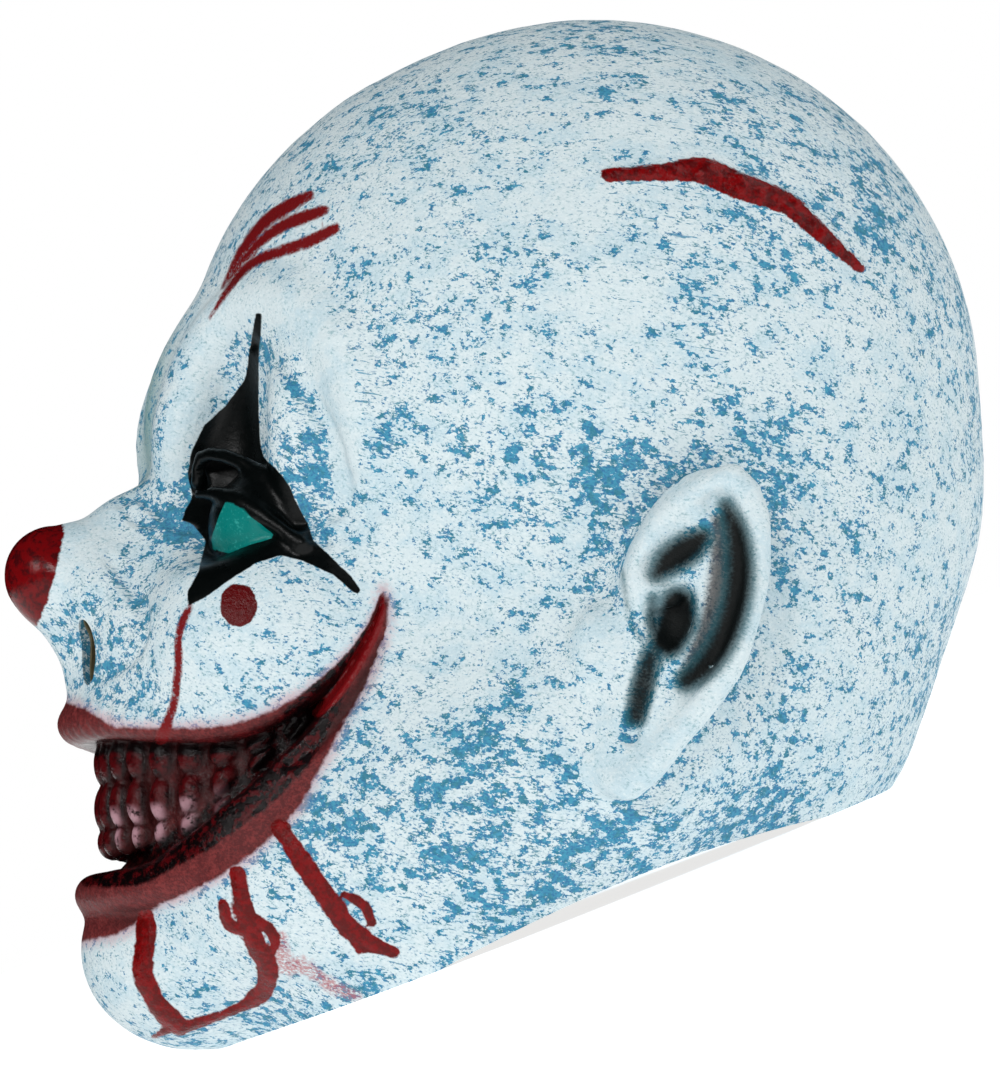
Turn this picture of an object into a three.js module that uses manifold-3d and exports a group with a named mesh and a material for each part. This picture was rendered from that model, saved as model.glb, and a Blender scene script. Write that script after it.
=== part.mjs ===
// A full-head clown mask of cast latex: one hollow skin that stands on its neck rim.
// Millimetres, +Z up, the face towards -Y, the mask's own left side towards +X.
// The head is described upright (x to its left, y back, z up) as one field of signed
// distances, and then tilted back so that its slanting neck rim lies flat on z = 0.
import * as THREE from "three";
import { mergeVertices } from "three/addons/utils/BufferGeometryUtils.js";
import Module from "manifold-3d";

// Driving dimensions
const TILT = 21.5; // degrees between the head's upright axis and the rim's normal
const RIM = -105.2; // height of the rim plane at y = 0, in the upright head
const WALL = 2.8; // thickness of the latex
const CENTRE_SHIFT = 18.7; // moves the middle of the bounding box to y = 0
const RIM_ARCH = [-30, 4.3, 59]; // middle, height and half length of the rim's arch over a shoulder
const GROUND_REACH = 250; // half the width of the ground that the rim is cut to
const GROUND_DEPTH = 100;
const SKIRT = 9; // both skins run this far below the rim before the floor cuts them

// Triangles kept on the outer net, on the inner net and on the finished skin
const OUTER_TRIANGLES = 8700;
const INNER_TRIANGLES = 2200;
const SKIN_TRIANGLES = 9900;

// Rounded masses of the head: [centre], [half sizes], or two ends with a radius each
const CRANIUM = [[0, 10.6, 37.5], [93, 105.5, 103.5]];
const FOREHEAD = [[0, -25, 35], [80, 78.5, 87]];
const OCCIPUT = [[0, 26, 6], [82, 89, 60]];
const NAPE = [[0, 14, -27], [85, 89, 87]];
const JAW_BASE = [[0, -30, -85], [73, 70, 85]];
const JAW_SIDE = [[58, 0, -60, 33], [29, -84, -93, 31]];
const MIDFACE = [[0, -66, -38], [58, 63, 60]];
const BROW = [[0, -87, 27], [30, 28, 35]];
const CHIN = [[0, -101, -115.5], [31, 30.5, 27]];
const CHEEK = [[37, -84, -34], [26, 36, 28]];
const SOCKET = [[40, -104, 18], [19, 15, 30]];
const EYE_BAG = [[47, -80, 19], [12, 9, 25]];
const EYEBALL = [[35, -86, -4], [17.5, 17.5, 16]];
const NOSE = [[0, -140, -15, 13.3], [0, -106, -15, 22]];
const NOSE_WING = [[11, -126, -23, 12], [17, -114, -34, 14]];
const NOSE_BRIDGE = [[0, -139, -23, 7.5], [0, -126, -41, 8]];
const NOSE_ROOT = [[0, -111.5, -1], [14, 17, 10.5]];
const NOSE_SIDE = [[18.5, -121, -31], [11.5, 9.5, 12.5]];
const SLOT = [[31, -101, 9], [7.5, 14, 3.6]];
const NOSTRIL = [[13.5, -131.5, -36.5], [9, 3.9, 9.5]];

// The mouth follows an ellipse in plan; its edges are heights at degrees round that ellipse
const ARCH_Y = -63;
const LIP = [57, 69.5];
const TEETH = [49.5, 62.5];
const UPPER = [
  [0, -60.5], [21, -60.5], [42, -62], [60, -61.5], [72, -56], [81, -47], [87.5, -36], [92, -22],
];
const LOWER = [
  [0, -95.3], [17, -95], [36, -93], [52, -85.5], [67, -71.5], [78, -58], [87.5, -39], [92, -24],
];
const UPPER_LIP = [[0, 5.6], [30, 5], [60, 3.2], [80, 3], [92, 2.5]];
const LOWER_LIP = [[0, 5.5], [30, 5.7], [60, 6], [80, 4], [92, 2.5]];
const MUZZLE = [[0, 13], [40, 13], [70, 12], [92, 9]];
const TOOTH_PITCH = 9.8; // degrees of the arch for each tooth
const TOOTH_LEAN = 2.6; // how far the lower teeth stand back

// Raised lines of the face: x, y, z and radius
const BROW_RIDGE = [
  [9, -107, 4, 5], [11, -108.2, 13.4, 6.5], [14, -107.8, 22.2, 7.4], [16.4, -105.8, 30.7, 7.8],
  [17.5, -102, 41, 7.8], [20.5, -97, 50, 7.9], [32.3, -89.3, 56, 8.3], [47.1, -81, 54, 8.5],
  [59.6, -71.7, 41.3, 8.7], [63.6, -67, 24.2, 8.4], [62.2, -65.4, 12, 7], [57.5, -66, 1, 3],
];
const UPPER_LID = [
  [22, -104.3, 9, 1.8], [25, -103.8, 15, 2], [34, -98.8, 14.5, 2], [45, -89.8, 8, 2], [57, -74.8, -6, 1.6],
];
const LOWER_LID = [
  [21, -106, -8, 2.4], [27, -106, -16, 2.8], [38, -101, -18, 2.6], [48, -91.5, -15, 2.4], [55, -81, -10, 2],
];

// The ear lies on a plane turned out from the head: y, z, height over that plane and radius
const EAR_SLOPE = 0.42;
const EAR_X = 93;
const HELIX = [
  [8, -27, 0, 2.8], [2.5, -27, 0, 3], [0, -22, 1, 3.2], [3, -12.5, 1.5, 3.4], [10, -3.5, 1.5, 3.6],
  [23, 3.5, 1.5, 3.8], [28.3, -6, 1.5, 3.8], [28.7, -15, 1.5, 3.8], [28.2, -25, 1.5, 3.8],
  [23.5, -42, 1.5, 3.8], [18.5, -51.5, 1, 3.8], [8, -64.5, 0.5, 4], [-3, -75.5, -1, 4.6],
  [-8.5, -71, -4, 4.4],
];
const ANTIHELIX = [[20, -9, 1, 2], [17.5, -26, 1.5, 2.8], [13.5, -41, 1, 2.8], [7.5, -47, 0, 2.6]];
const SCAPHA = [
  [20, -4, 4, 2.4], [23.7, -17, 4, 2.8], [22, -29, 4, 2.8], [17.5, -41.5, 4, 2.6], [11.5, -50.5, 4, 2],
];
const FOSSA = [[5, -19.5, 4, 3], [10, -15.5, 4, 3.4], [15.5, -12, 4, 2.8]];
const NOTCH = [[4, -40, 3.5, 3], [0.5, -52, 2.5, 3], [-2.2, -63, 2, 2.6]];

// Masses of the ear: the two plates stand across that plane, the others upright in the head
const EAR_PLATE = [[-1.5, 4, -20], [5.5, 18, 27]];
const EAR_LOBE = [[-2.5, -8, -56], [5.5, 11.5, 24]];
const EAR_ROOT = [[88, 8, -34], [10, 14, 28]];
const CONCHA = [[102, 7.5, -32.5], [8, 6.5, 9]];
const TRAGUS = [[88, -7, -41], [6, 9, 12]];

const radians = THREE.MathUtils.degToRad;
const clamp = THREE.MathUtils.clamp;

// Smooth union of two distances, and a smooth cut of b out of a
function blend(a, b, k) {
  const h = clamp(0.5 + (0.5 * (b - a)) / k, 0, 1);
  return b + (a - b) * h - k * h * (1 - h);
}
const carve = (a, b, k) => -blend(-a, b, k);

function ellipsoid(x, y, z, [centre, [rx, ry, rz]]) {
  x -= centre[0];
  y -= centre[1];
  z -= centre[2];
  const k0 = Math.hypot(x / rx, y / ry, z / rz) + 1e-6;
  const k1 = Math.hypot(x / rx ** 2, y / ry ** 2, z / rz ** 2) + 1e-9;
  return (k0 * (k0 - 1)) / k1;
}

// The same shape turned about one of its own axes by some degrees
function turned(x, y, z, [centre, half], axis, degrees) {
  const c = Math.cos(radians(degrees));
  const s = Math.sin(radians(degrees));
  x -= centre[0];
  y -= centre[1];
  z -= centre[2];
  if (axis === "x") [y, z] = [c * y + s * z, c * z - s * y];
  if (axis === "y") [x, z] = [c * x - s * z, s * x + c * z];
  if (axis === "z") [x, y] = [c * x + s * y, c * y - s * x];
  return ellipsoid(x, y, z, [[0, 0, 0], half]);
}

function capsule(x, y, z, a, b) {
  const dx = b[0] - a[0];
  const dy = b[1] - a[1];
  const dz = b[2] - a[2];
  const qx = x - a[0];
  const qy = y - a[1];
  const qz = z - a[2];
  const h = clamp((qx * dx + qy * dy + qz * dz) / (dx * dx + dy * dy + dz * dz), 0, 1);
  const away = Math.sqrt((qx - h * dx) ** 2 + (qy - h * dy) ** 2 + (qz - h * dz) ** 2);
  return away - (a[3] + (b[3] - a[3]) * h);
}

// Links of a rounded line through points that carry a radius
function links(points, steps = 2) {
  const stops = points.map((p) => new THREE.Vector3(...p));
  const path = new THREE.CatmullRomCurve3(stops, false, "catmullrom", 0.5);
  const out = [];
  const count = (points.length - 1) * steps;
  for (let i = 0; i <= count; i++) {
    const at = path.getPoint(i / count);
    const k = Math.min(Math.floor(i / steps), points.length - 2);
    const radius = THREE.MathUtils.lerp(points[k][3], points[k + 1][3], i / steps - k);
    out.push([at.x, at.y, at.z, radius]);
  }
  return out;
}
function tube(x, y, z, line) {
  let least = Infinity;
  for (let i = 1; i < line.length; i++) {
    least = Math.min(least, capsule(x, y, z, line[i - 1], line[i]));
  }
  return least;
}

// A smooth curve through keys [place, value], level at the first key
function along(t, keys) {
  let i = 0;
  while (i < keys.length - 2 && t > keys[i + 1][0]) i++;
  const slope = (k) => {
    if (k === 0) return 0;
    const a = keys[k - 1];
    const b = keys[Math.min(k + 1, keys.length - 1)];
    return (b[1] - a[1]) / (b[0] - a[0]);
  };
  const h = keys[i + 1][0] - keys[i][0];
  const u = clamp((t - keys[i][0]) / h, 0, 1);
  const start = (2 * u ** 3 - 3 * u ** 2 + 1) * keys[i][1] + (u ** 3 - 2 * u ** 2 + u) * h * slope(i);
  return start + (3 * u ** 2 - 2 * u ** 3) * keys[i + 1][1] + (u ** 3 - u ** 2) * h * slope(i + 1);
}

// Degrees round an ellipse of the mouth from the front, and the distance outside it
function archPlace(x, y, [rx, ry]) {
  const v = y - ARCH_Y;
  const turn = THREE.MathUtils.radToDeg(Math.atan2(x / rx, -v / ry));
  const k0 = Math.hypot(x / rx, v / ry) + 1e-6;
  const k1 = Math.hypot(x / rx ** 2, v / ry ** 2) + 1e-9;
  return [turn, (k0 * (k0 - 1)) / k1];
}

// A lip's line, a radius above or below the mouth's edge
function lipLine(edge, rise, radii, side, rx, ry) {
  const out = [];
  for (let i = 0; i <= 16; i++) {
    const t = (92 * i) / 16;
    const r = along(t, radii);
    const z = along(t, edge) + rise + side * (r + 0.2);
    out.push([rx * Math.sin(radians(t)), ARCH_Y - ry * Math.cos(radians(t)), z, r]);
  }
  return out;
}
const upperLip = lipLine(UPPER, 0, UPPER_LIP, 1, LIP[0], LIP[1]);
const lowerLip = lipLine(LOWER, 0, LOWER_LIP, -1, LIP[0] - 1, LIP[1] - 5);
const muzzle = lipLine(UPPER, 13, MUZZLE, 0, LIP[0] - 10, LIP[1] - 11);
const browRidge = links(BROW_RIDGE);
const upperLid = links(UPPER_LID);
const lowerLid = links(LOWER_LID);

// Points of the ear's plane as points of the head
const earPoint = ([y, z, w, r]) => [EAR_X + EAR_SLOPE * (y + 5) + 0.92 * w, y - 0.39 * w, z, r];
const earLinks = (points) => links(points.map(earPoint));
const helix = earLinks(HELIX);
const antihelix = earLinks(ANTIHELIX);
const scapha = earLinks(SCAPHA);
const fossa = earLinks(FOSSA);
const notch = earLinks(NOTCH);

function headMass(x, y, z) {
  const side = Math.sqrt(x * x + 1);
  let d = ellipsoid(x, y, z, CRANIUM);
  d = blend(d, ellipsoid(x, y, z, FOREHEAD), 12);
  d = blend(d, ellipsoid(x, y, z, OCCIPUT), 14);
  d = blend(d, ellipsoid(x, y, z, NAPE), 20);
  d = blend(d, ellipsoid(x, y, z, JAW_BASE), 14);
  d = blend(d, capsule(side, y, z, ...JAW_SIDE), 22);
  d = blend(d, ellipsoid(x, y, z, MIDFACE), 20);
  d = blend(d, ellipsoid(x, y, z, BROW), 10);
  return blend(d, ellipsoid(x, y, z, CHIN), 14);
}

function faceMass(x, y, z) {
  const a = Math.abs(x);
  let d = headMass(x, y, z);
  d = blend(d, ellipsoid(a, y, z, CHEEK), 9);
  d = blend(d, tube(a, y, z, muzzle), 10);
  d = carve(d, turned(a, y, z, SOCKET, "z", -28), 12);
  d = blend(d, turned(a, y, z, EYE_BAG, "z", -38), 6);
  d = blend(d, tube(a, y, z, browRidge), 4.5);
  let nose = capsule(x, y, z, ...NOSE);
  nose = blend(nose, capsule(a, y, z, ...NOSE_WING), 7);
  nose = blend(nose, capsule(x, y, z, ...NOSE_BRIDGE), 5);
  nose = blend(nose, ellipsoid(x, y, z, NOSE_ROOT), 6);
  d = blend(d, nose, 8);
  d = blend(d, ellipsoid(a, y, z, NOSE_SIDE), 3);
  return blend(d, ellipsoid(a, y, z, EYEBALL), 1.5);
}

// How far a point lies inside the slot between the lips
function mouthGap(x, y, z) {
  const [turn, out] = archPlace(x, y, TEETH);
  const t = Math.abs(turn);
  const gap = Math.max(z - along(t, UPPER), along(t, LOWER) - z) * 0.8;
  return Math.max(gap, (t - 91) * 1.1, -out);
}

// Three tiers round the arch: gum ridges, upper teeth and lower teeth
function teeth(x, y, z) {
  const [turn, out] = archPlace(x, y, TEETH);
  const t = Math.abs(turn);
  const up = along(t, UPPER);
  const high = Math.max(up - along(t, LOWER), 3);
  const degree = radians(1) * Math.hypot(TEETH[0] * Math.cos(radians(t)), TEETH[1] * Math.sin(radians(t)));
  const number = Math.floor(t / TOOTH_PITCH);
  const across = (t - (number + 0.5) * TOOTH_PITCH) * degree;
  const vary = Math.sin(number * 12.9 + 1.7);
  const lump = (middle, half, wide, deep, shift) => {
    const h = Math.max(high * half, 1.2);
    const lean = out + 0.2 + TOOTH_LEAN * middle;
    const e = Math.hypot((across + shift) / wide, lean / deep, (z - up + high * middle) / h);
    return (e - 1) * Math.min(wide, deep, h) * 0.9;
  };
  let row = lump(0.14, 0.185, 4.1, 3.3, 0);
  row = blend(row, lump(0.47 + 0.02 * vary, 0.205, 3.9, 4.1, 0.4 * vary), 0.5);
  row = blend(row, lump(0.77 - 0.02 * vary, 0.135, 3.6, 3.7, -0.7 * vary), 0.5);
  return Math.max(row, (t - 84) * 1.1);
}

function ear(x, y, z) {
  const turn = Math.atan(EAR_SLOPE);
  const c = Math.cos(turn);
  const s = Math.sin(turn);
  const u = x - EAR_X - EAR_SLOPE * 15;
  const normal = c * u - s * (y - 10);
  const across = s * u + c * (y - 10);
  let e = turned(normal, across, z, EAR_PLATE, "x", -16);
  e = blend(e, turned(normal, across, z, EAR_LOBE, "x", -22), 6);
  e = blend(e, ellipsoid(x, y, z, EAR_ROOT), 5);
  e = carve(e, ellipsoid(x, y, z, CONCHA), 4);
  e = blend(e, tube(x, y, z, helix), 3);
  e = blend(e, tube(x, y, z, antihelix), 2.5);
  e = carve(e, tube(x, y, z, scapha), 4);
  e = carve(e, tube(x, y, z, fossa), 4);
  e = blend(e, ellipsoid(x, y, z, TRAGUS), 4);
  return carve(e, tube(x, y, z, notch), 2.5);
}

// The outside: face, lips, teeth, lids and ears
function outside(x, y, z) {
  const a = Math.abs(x);
  let d = faceMass(x, y, z);
  d = blend(d, tube(a, y, z, upperLid), 3);
  d = blend(d, tube(a, y, z, lowerLid), 4);
  d = carve(d, mouthGap(x, y, z), 2.5);
  d = blend(d, tube(a, y, z, upperLip), 4);
  d = blend(d, tube(a, y, z, lowerLip), 4);
  d = blend(d, teeth(x, y, z), 0.8);
  return a > 70 ? blend(d, ear(a, y, z), 5) : d;
}

// The inside runs a wall's thickness within the face; ears, lips and teeth are solid latex
const inside = (x, y, z) => carve(faceMass(x, y, z), mouthGap(x, y, z), 8) + WALL;

// Signed distance below the neck rim, in the upright head
const below = (y, z) => y * Math.sin(radians(TILT)) - (z - RIM) * Math.cos(radians(TILT));

// Places along an axis whose step changes smoothly between keys [place, step]
function places(keys) {
  const out = [keys[0][0]];
  while (out.at(-1) < keys.at(-1)[0]) {
    const at = out.at(-1);
    let i = 0;
    while (i < keys.length - 2 && at > keys[i + 1][0]) i++;
    const u = (at - keys[i][0]) / (keys[i + 1][0] - keys[i][0]);
    out.push(at + THREE.MathUtils.lerp(keys[i][1], keys[i + 1][1], clamp(u, 0, 1)));
  }
  return out;
}
function mirrored(keys) {
  const half = places(keys);
  return [...half.slice().reverse().map((v) => -v), ...half];
}

// A closed net of quads where the field changes sign: [positions], [triangles]
function surfaceNet(field, xs, ys, zs) {
  const nx = xs.length;
  const ny = ys.length;
  const nz = zs.length;
  const at = (i, j, k) => (i * ny + j) * nz + k;
  const value = new Float64Array(nx * ny * nz);
  for (let i = 0; i < nx; i++)
    for (let j = 0; j < ny; j++)
      for (let k = 0; k < nz; k++) value[at(i, j, k)] = field(xs[i], ys[j], zs[k]);
  const number = new Int32Array(nx * ny * nz).fill(-1);
  const points = [];
  const corners = [];
  for (let c = 0; c < 8; c++) corners.push([c & 1, (c >> 1) & 1, c >> 2]);
  for (let i = 0; i < nx - 1; i++)
    for (let j = 0; j < ny - 1; j++)
      for (let k = 0; k < nz - 1; k++) {
        const sum = [0, 0, 0];
        let hits = 0;
        for (const a of corners)
          for (let axis = 0; axis < 3; axis++) {
            if (a[axis]) continue;
            const b = a.slice();
            b[axis] = 1;
            const va = value[at(i + a[0], j + a[1], k + a[2])];
            const vb = value[at(i + b[0], j + b[1], k + b[2])];
            if (va < 0 === vb < 0) continue;
            const place = a.slice();
            place[axis] += va / (va - vb);
            for (let n = 0; n < 3; n++) sum[n] += place[n];
            hits++;
          }
        if (!hits) continue;
        number[at(i, j, k)] = points.length;
        const mix = (list, n, v) => THREE.MathUtils.lerp(list[n], list[n + 1], v / hits);
        points.push([mix(xs, i, sum[0]), mix(ys, j, sum[1]), mix(zs, k, sum[2])]);
      }
  const faces = [];
  const core = [];
  const quad = (a, b, c, d, flip, inner) => {
    if (flip) faces.push([a, c, b], [a, d, c]);
    else faces.push([a, b, c], [a, c, d]);
    core.push(inner, inner);
  };
  for (let i = 1; i < nx - 1; i++)
    for (let j = 1; j < ny - 1; j++)
      for (let k = 1; k < nz - 1; k++) {
        const here = value[at(i, j, k)] < 0;
        const n = (a, b, c) => number[at(i - a, j - b, k - c)];
        const cross = (a, b, c, ring) => {
          const there = at(i + a, j + b, k + c);
          if (here !== value[there] < 0) quad(...ring, !here, here ? at(i, j, k) : there);
        };
        cross(1, 0, 0, [n(0, 1, 1), n(0, 0, 1), n(0, 0, 0), n(0, 1, 0)]);
        cross(0, 1, 0, [n(1, 0, 1), n(1, 0, 0), n(0, 0, 0), n(0, 0, 1)]);
        cross(0, 0, 1, [n(1, 1, 0), n(0, 1, 0), n(0, 0, 0), n(1, 0, 0)]);
      }
  return separate(points, faces, core);
}

// Gives each sheet its own points where two sheets of the net met in one cell
function separate(points, faces, core) {
  const parent = Array.from({ length: faces.length * 3 }, (v, i) => i);
  const root = (i) => {
    while (parent[i] !== i) i = parent[i] = parent[parent[i]];
    return i;
  };
  const edgesOf = (list) => {
    const edges = new Map();
    list.forEach((f, i) => {
      for (let c = 0; c < 3; c++) {
        const [a, b] = [f[c], f[(c + 1) % 3]];
        const key = Math.min(a, b) + "," + Math.max(a, b);
        if (!edges.has(key)) edges.set(key, { ends: [Math.min(a, b), Math.max(a, b)], list: [] });
        edges.get(key).list.push(i);
      }
    });
    return edges.values();
  };
  const corner = (f, v) => 3 * f + faces[f].indexOf(v);
  for (const { ends, list } of edgesOf(faces)) {
    for (const f of list)
      for (const g of list) {
        if (f >= g || (list.length > 2 && core[f] !== core[g])) continue;
        for (const v of ends) parent[root(corner(f, v))] = root(corner(g, v));
      }
  }
  const made = new Map();
  const out = [];
  const count = new Map();
  const renamed = faces.map((f, i) =>
    f.map((v, c) => {
      const key = root(3 * i + c);
      if (!made.has(key)) {
        made.set(key, out.length);
        out.push(points[v].slice());
        count.set(v, [...(count.get(v) ?? []), out.length - 1]);
      }
      return made.get(key);
    }),
  );
  const twins = new Set([...count.values()].filter((list) => list.length > 1).flat());
  const around = new Map([...twins].map((v) => [v, []]));
  for (const f of renamed)
    for (const v of f) if (twins.has(v)) around.get(v).push(...f.filter((w) => w !== v));
  for (const [v, list] of around)
    for (let n = 0; n < 3; n++) {
      const mean = list.reduce((sum, w) => sum + out[w][n], 0) / list.length;
      out[v][n] += 0.5 * (mean - out[v][n]);
    }
  // An edge that two sheets still share gets a middle point of its own on each sheet
  for (const { ends, list } of [...edgesOf(renamed)].filter((e) => e.list.length > 2))
    for (const sheet of new Set(list.map((f) => core[f]))) {
      const middle = out.length;
      const own = list.filter((f) => core[f] === sheet);
      const far = own.map((f) => out[renamed[f].find((v) => !ends.includes(v))]);
      out.push([0, 1, 2].map((n) => {
        const mean = far.reduce((sum, p) => sum + p[n], 0) / far.length;
        return 0.35 * (out[ends[0]][n] + out[ends[1]][n]) + 0.3 * mean;
      }));
      for (const f of own) {
        const whole = renamed[f];
        renamed[f] = whole.map((v) => (v === ends[0] ? middle : v));
        renamed.push(whole.map((v) => (v === ends[1] ? middle : v)));
        core.push(sheet);
      }
    }
  return [out, renamed];
}

// The faces of the largest connected net: a bubble that closed on itself is left out
function largest(points, faces) {
  const parent = points.map((p, i) => i);
  const root = (i) => {
    while (parent[i] !== i) i = parent[i] = parent[parent[i]];
    return i;
  };
  for (const [a, b, c] of faces) {
    parent[root(a)] = root(b);
    parent[root(b)] = root(c);
  }
  const size = new Map();
  for (const [a] of faces) size.set(root(a), (size.get(root(a)) ?? 0) + 1);
  const main = [...size].sort((a, b) => b[1] - a[1])[0][0];
  return faces.filter(([a]) => root(a) === main);
}

// Draws each point onto the field's surface along the field's gradient
function settle(field, points) {
  const e = 0.2;
  for (let round = 0; round < 3; round++)
    for (const p of points) {
      const [x, y, z] = p;
      const d = field(x, y, z);
      const g = [
        (field(x + e, y, z) - field(x - e, y, z)) / (2 * e),
        (field(x, y + e, z) - field(x, y - e, z)) / (2 * e),
        (field(x, y, z + e) - field(x, y, z - e)) / (2 * e),
      ];
      const size = Math.max(g[0] ** 2 + g[1] ** 2 + g[2] ** 2, 0.3);
      const step = clamp(d / size, -1.5, 1.5);
      for (let n = 0; n < 3; n++) p[n] -= step * g[n];
    }
}

// Edge collapses, cheapest first by the squared distance to the planes met so far
function thin(points, faces, target) {
  const alive = faces.map(() => true);
  const around = points.map(() => new Set());
  const quadric = points.map(() => new Float64Array(10));
  const normal = (a, b, c) => {
    const [p, q, r] = [points[a], points[b], points[c]];
    const u = [q[0] - p[0], q[1] - p[1], q[2] - p[2]];
    const v = [r[0] - p[0], r[1] - p[1], r[2] - p[2]];
    return [u[1] * v[2] - u[2] * v[1], u[2] * v[0] - u[0] * v[2], u[0] * v[1] - u[1] * v[0]];
  };
  faces.forEach((f, i) => {
    const n = normal(...f);
    const size = Math.hypot(...n) || 1e-12;
    const [a, b, c] = n.map((v) => v / size);
    const p = points[f[0]];
    const d = -(a * p[0] + b * p[1] + c * p[2]);
    const plane = [a * a, a * b, a * c, a * d, b * b, b * c, b * d, c * c, c * d, d * d];
    for (const v of f) {
      around[v].add(i);
      plane.forEach((value, k) => (quadric[v][k] += value * size));
    }
  });
  const cost = (q, [x, y, z]) =>
    q[0] * x * x + q[4] * y * y + q[7] * z * z + q[9] +
    2 * (q[1] * x * y + q[2] * x * z + q[5] * y * z + q[3] * x + q[6] * y + q[8] * z);
  const stamp = new Int32Array(points.length);
  const heap = [];
  const push = (item) => {
    let i = heap.push(item) - 1;
    while (i && heap[(i - 1) >> 1].cost > heap[i].cost) {
      [heap[i], heap[(i - 1) >> 1]] = [heap[(i - 1) >> 1], heap[i]];
      i = (i - 1) >> 1;
    }
  };
  const pop = () => {
    const top = heap[0];
    const last = heap.pop();
    if (!heap.length) return top;
    heap[0] = last;
    for (let i = 0; ; ) {
      const left = 2 * i + 1;
      if (left >= heap.length) return top;
      const less = left + 1 < heap.length && heap[left + 1].cost < heap[left].cost ? left + 1 : left;
      if (heap[less].cost >= heap[i].cost) return top;
      [heap[i], heap[less]] = [heap[less], heap[i]];
      i = less;
    }
  };
  const offer = (a, b) => {
    const q = quadric[a].map((v, k) => v + quadric[b][k]);
    const [p, r] = [points[a], points[b]];
    const middle = [(p[0] + r[0]) / 2, (p[1] + r[1]) / 2, (p[2] + r[2]) / 2];
    const choices = [p, r, middle];
    const m = new THREE.Matrix3().set(q[0], q[1], q[2], q[1], q[4], q[5], q[2], q[5], q[7]);
    const length2 = (p[0] - r[0]) ** 2 + (p[1] - r[1]) ** 2 + (p[2] - r[2]) ** 2;
    const trace = q[0] + q[4] + q[7];
    if (Math.abs(m.determinant()) > 1e-4 * trace ** 3) {
      const best = new THREE.Vector3(-q[3], -q[6], -q[8]).applyMatrix3(m.invert()).toArray();
      const far = (best[0] - middle[0]) ** 2 + (best[1] - middle[1]) ** 2 + (best[2] - middle[2]) ** 2;
      if (far < length2) choices.push(best);
    }
    let place = choices[0];
    for (const c of choices) if (cost(q, c) < cost(q, place)) place = c;
    push({ a, b, place, cost: cost(q, place) + 0.002 * length2, sa: stamp[a], sb: stamp[b] });
  };
  const neighbours = (v) => {
    const out = new Set();
    for (const f of around[v]) for (const w of faces[f]) if (w !== v) out.add(w);
    return out;
  };
  faces.forEach(([a, b, c]) => {
    if (a < b) offer(a, b);
    if (b < c) offer(b, c);
    if (c < a) offer(c, a);
  });
  let count = faces.length;
  while (count > target && heap.length) {
    const { a, b, place, sa, sb } = pop();
    if (stamp[a] !== sa || stamp[b] !== sb) continue;
    const near = neighbours(a);
    let shared = 0;
    for (const v of neighbours(b)) if (near.has(v)) shared += around[v].size > 3 ? 1 : 9;
    if (shared !== 2) continue;
    const turns = (v, other) => {
      for (const f of around[v]) {
        if (faces[f].includes(other)) continue;
        const before = normal(...faces[f]);
        const kept = points[v];
        points[v] = place;
        const after = normal(...faces[f]);
        points[v] = kept;
        if (Math.hypot(...before) < 0.02) continue;
        const dot = before[0] * after[0] + before[1] * after[1] + before[2] * after[2];
        if (dot < 0.3 * Math.hypot(...before) * Math.hypot(...after)) return true;
      }
      return false;
    };
    if (turns(a, b) || turns(b, a)) continue;
    points[a] = place.slice();
    quadric[a] = quadric[a].map((v, k) => v + quadric[b][k]);
    for (const f of around[b]) {
      if (faces[f].includes(a)) {
        alive[f] = false;
        count--;
        for (const v of faces[f]) if (v !== b) around[v].delete(f);
      } else {
        faces[f] = faces[f].map((v) => (v === b ? a : v));
        around[a].add(f);
      }
    }
    around[b].clear();
    stamp[b] = -1;
    stamp[a]++;
    for (const v of neighbours(a)) offer(a, v);
  }
  return faces.filter((f, i) => alive[i]);
}

const wasm = await Module();
wasm.setup();

function solidOf(geometry) {
  geometry.deleteAttribute("normal");
  geometry.deleteAttribute("uv");
  const merged = mergeVertices(geometry, 1e-4);
  const triVerts = new Uint32Array(merged.index.array);
  const vertProperties = merged.attributes.position.array;
  return new wasm.Manifold(new wasm.Mesh({ numProp: 3, vertProperties, triVerts }));
}

function netSolid(field, xs, ys, zs, target) {
  const skirted = (x, y, z) => Math.max(field(x, y, z), below(y, z) - SKIRT);
  const [points, faces] = surfaceNet(skirted, xs, ys, zs);
  settle(skirted, points);
  const kept = thin(points, largest(points, faces), target);
  const geometry = new THREE.BufferGeometry();
  geometry.setAttribute("position", new THREE.Float32BufferAttribute(points.flat(), 3));
  geometry.setIndex(kept.flat());
  return solidOf(geometry.toNonIndexed());
}

const outerSolid = netSolid(
  outside,
  mirrored([[1.5, 3.1], [66, 3.4], [120, 4.4]]),
  places([[-164, 3.2], [-70, 3.4], [50, 6], [126, 9]]),
  places([[-158, 3.4], [60, 3.6], [146, 9]]),
  OUTER_TRIANGLES,
);
const innerSolid = netSolid(
  inside,
  mirrored([[2.5, 5], [100, 6]]),
  places([[-160, 5], [-60, 6], [126, 9]]),
  places([[-158, 6], [60, 6], [144, 9]]),
  INNER_TRIANGLES,
);

// A rounded hole made from a stretched sphere, on the left and the right
function holes([centre, half], axis, degrees) {
  const out = [];
  for (const side of [1, -1]) {
    const geometry = new THREE.SphereGeometry(1, 20, 12).scale(...half);
    if (axis === "y") geometry.rotateY(radians(degrees) * side);
    if (axis === "z") geometry.rotateZ(radians(degrees) * side);
    geometry.translate(centre[0] * side, centre[1], centre[2]);
    out.push(solidOf(geometry));
  }
  return out;
}

const ground = RIM * Math.cos(radians(TILT));

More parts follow.
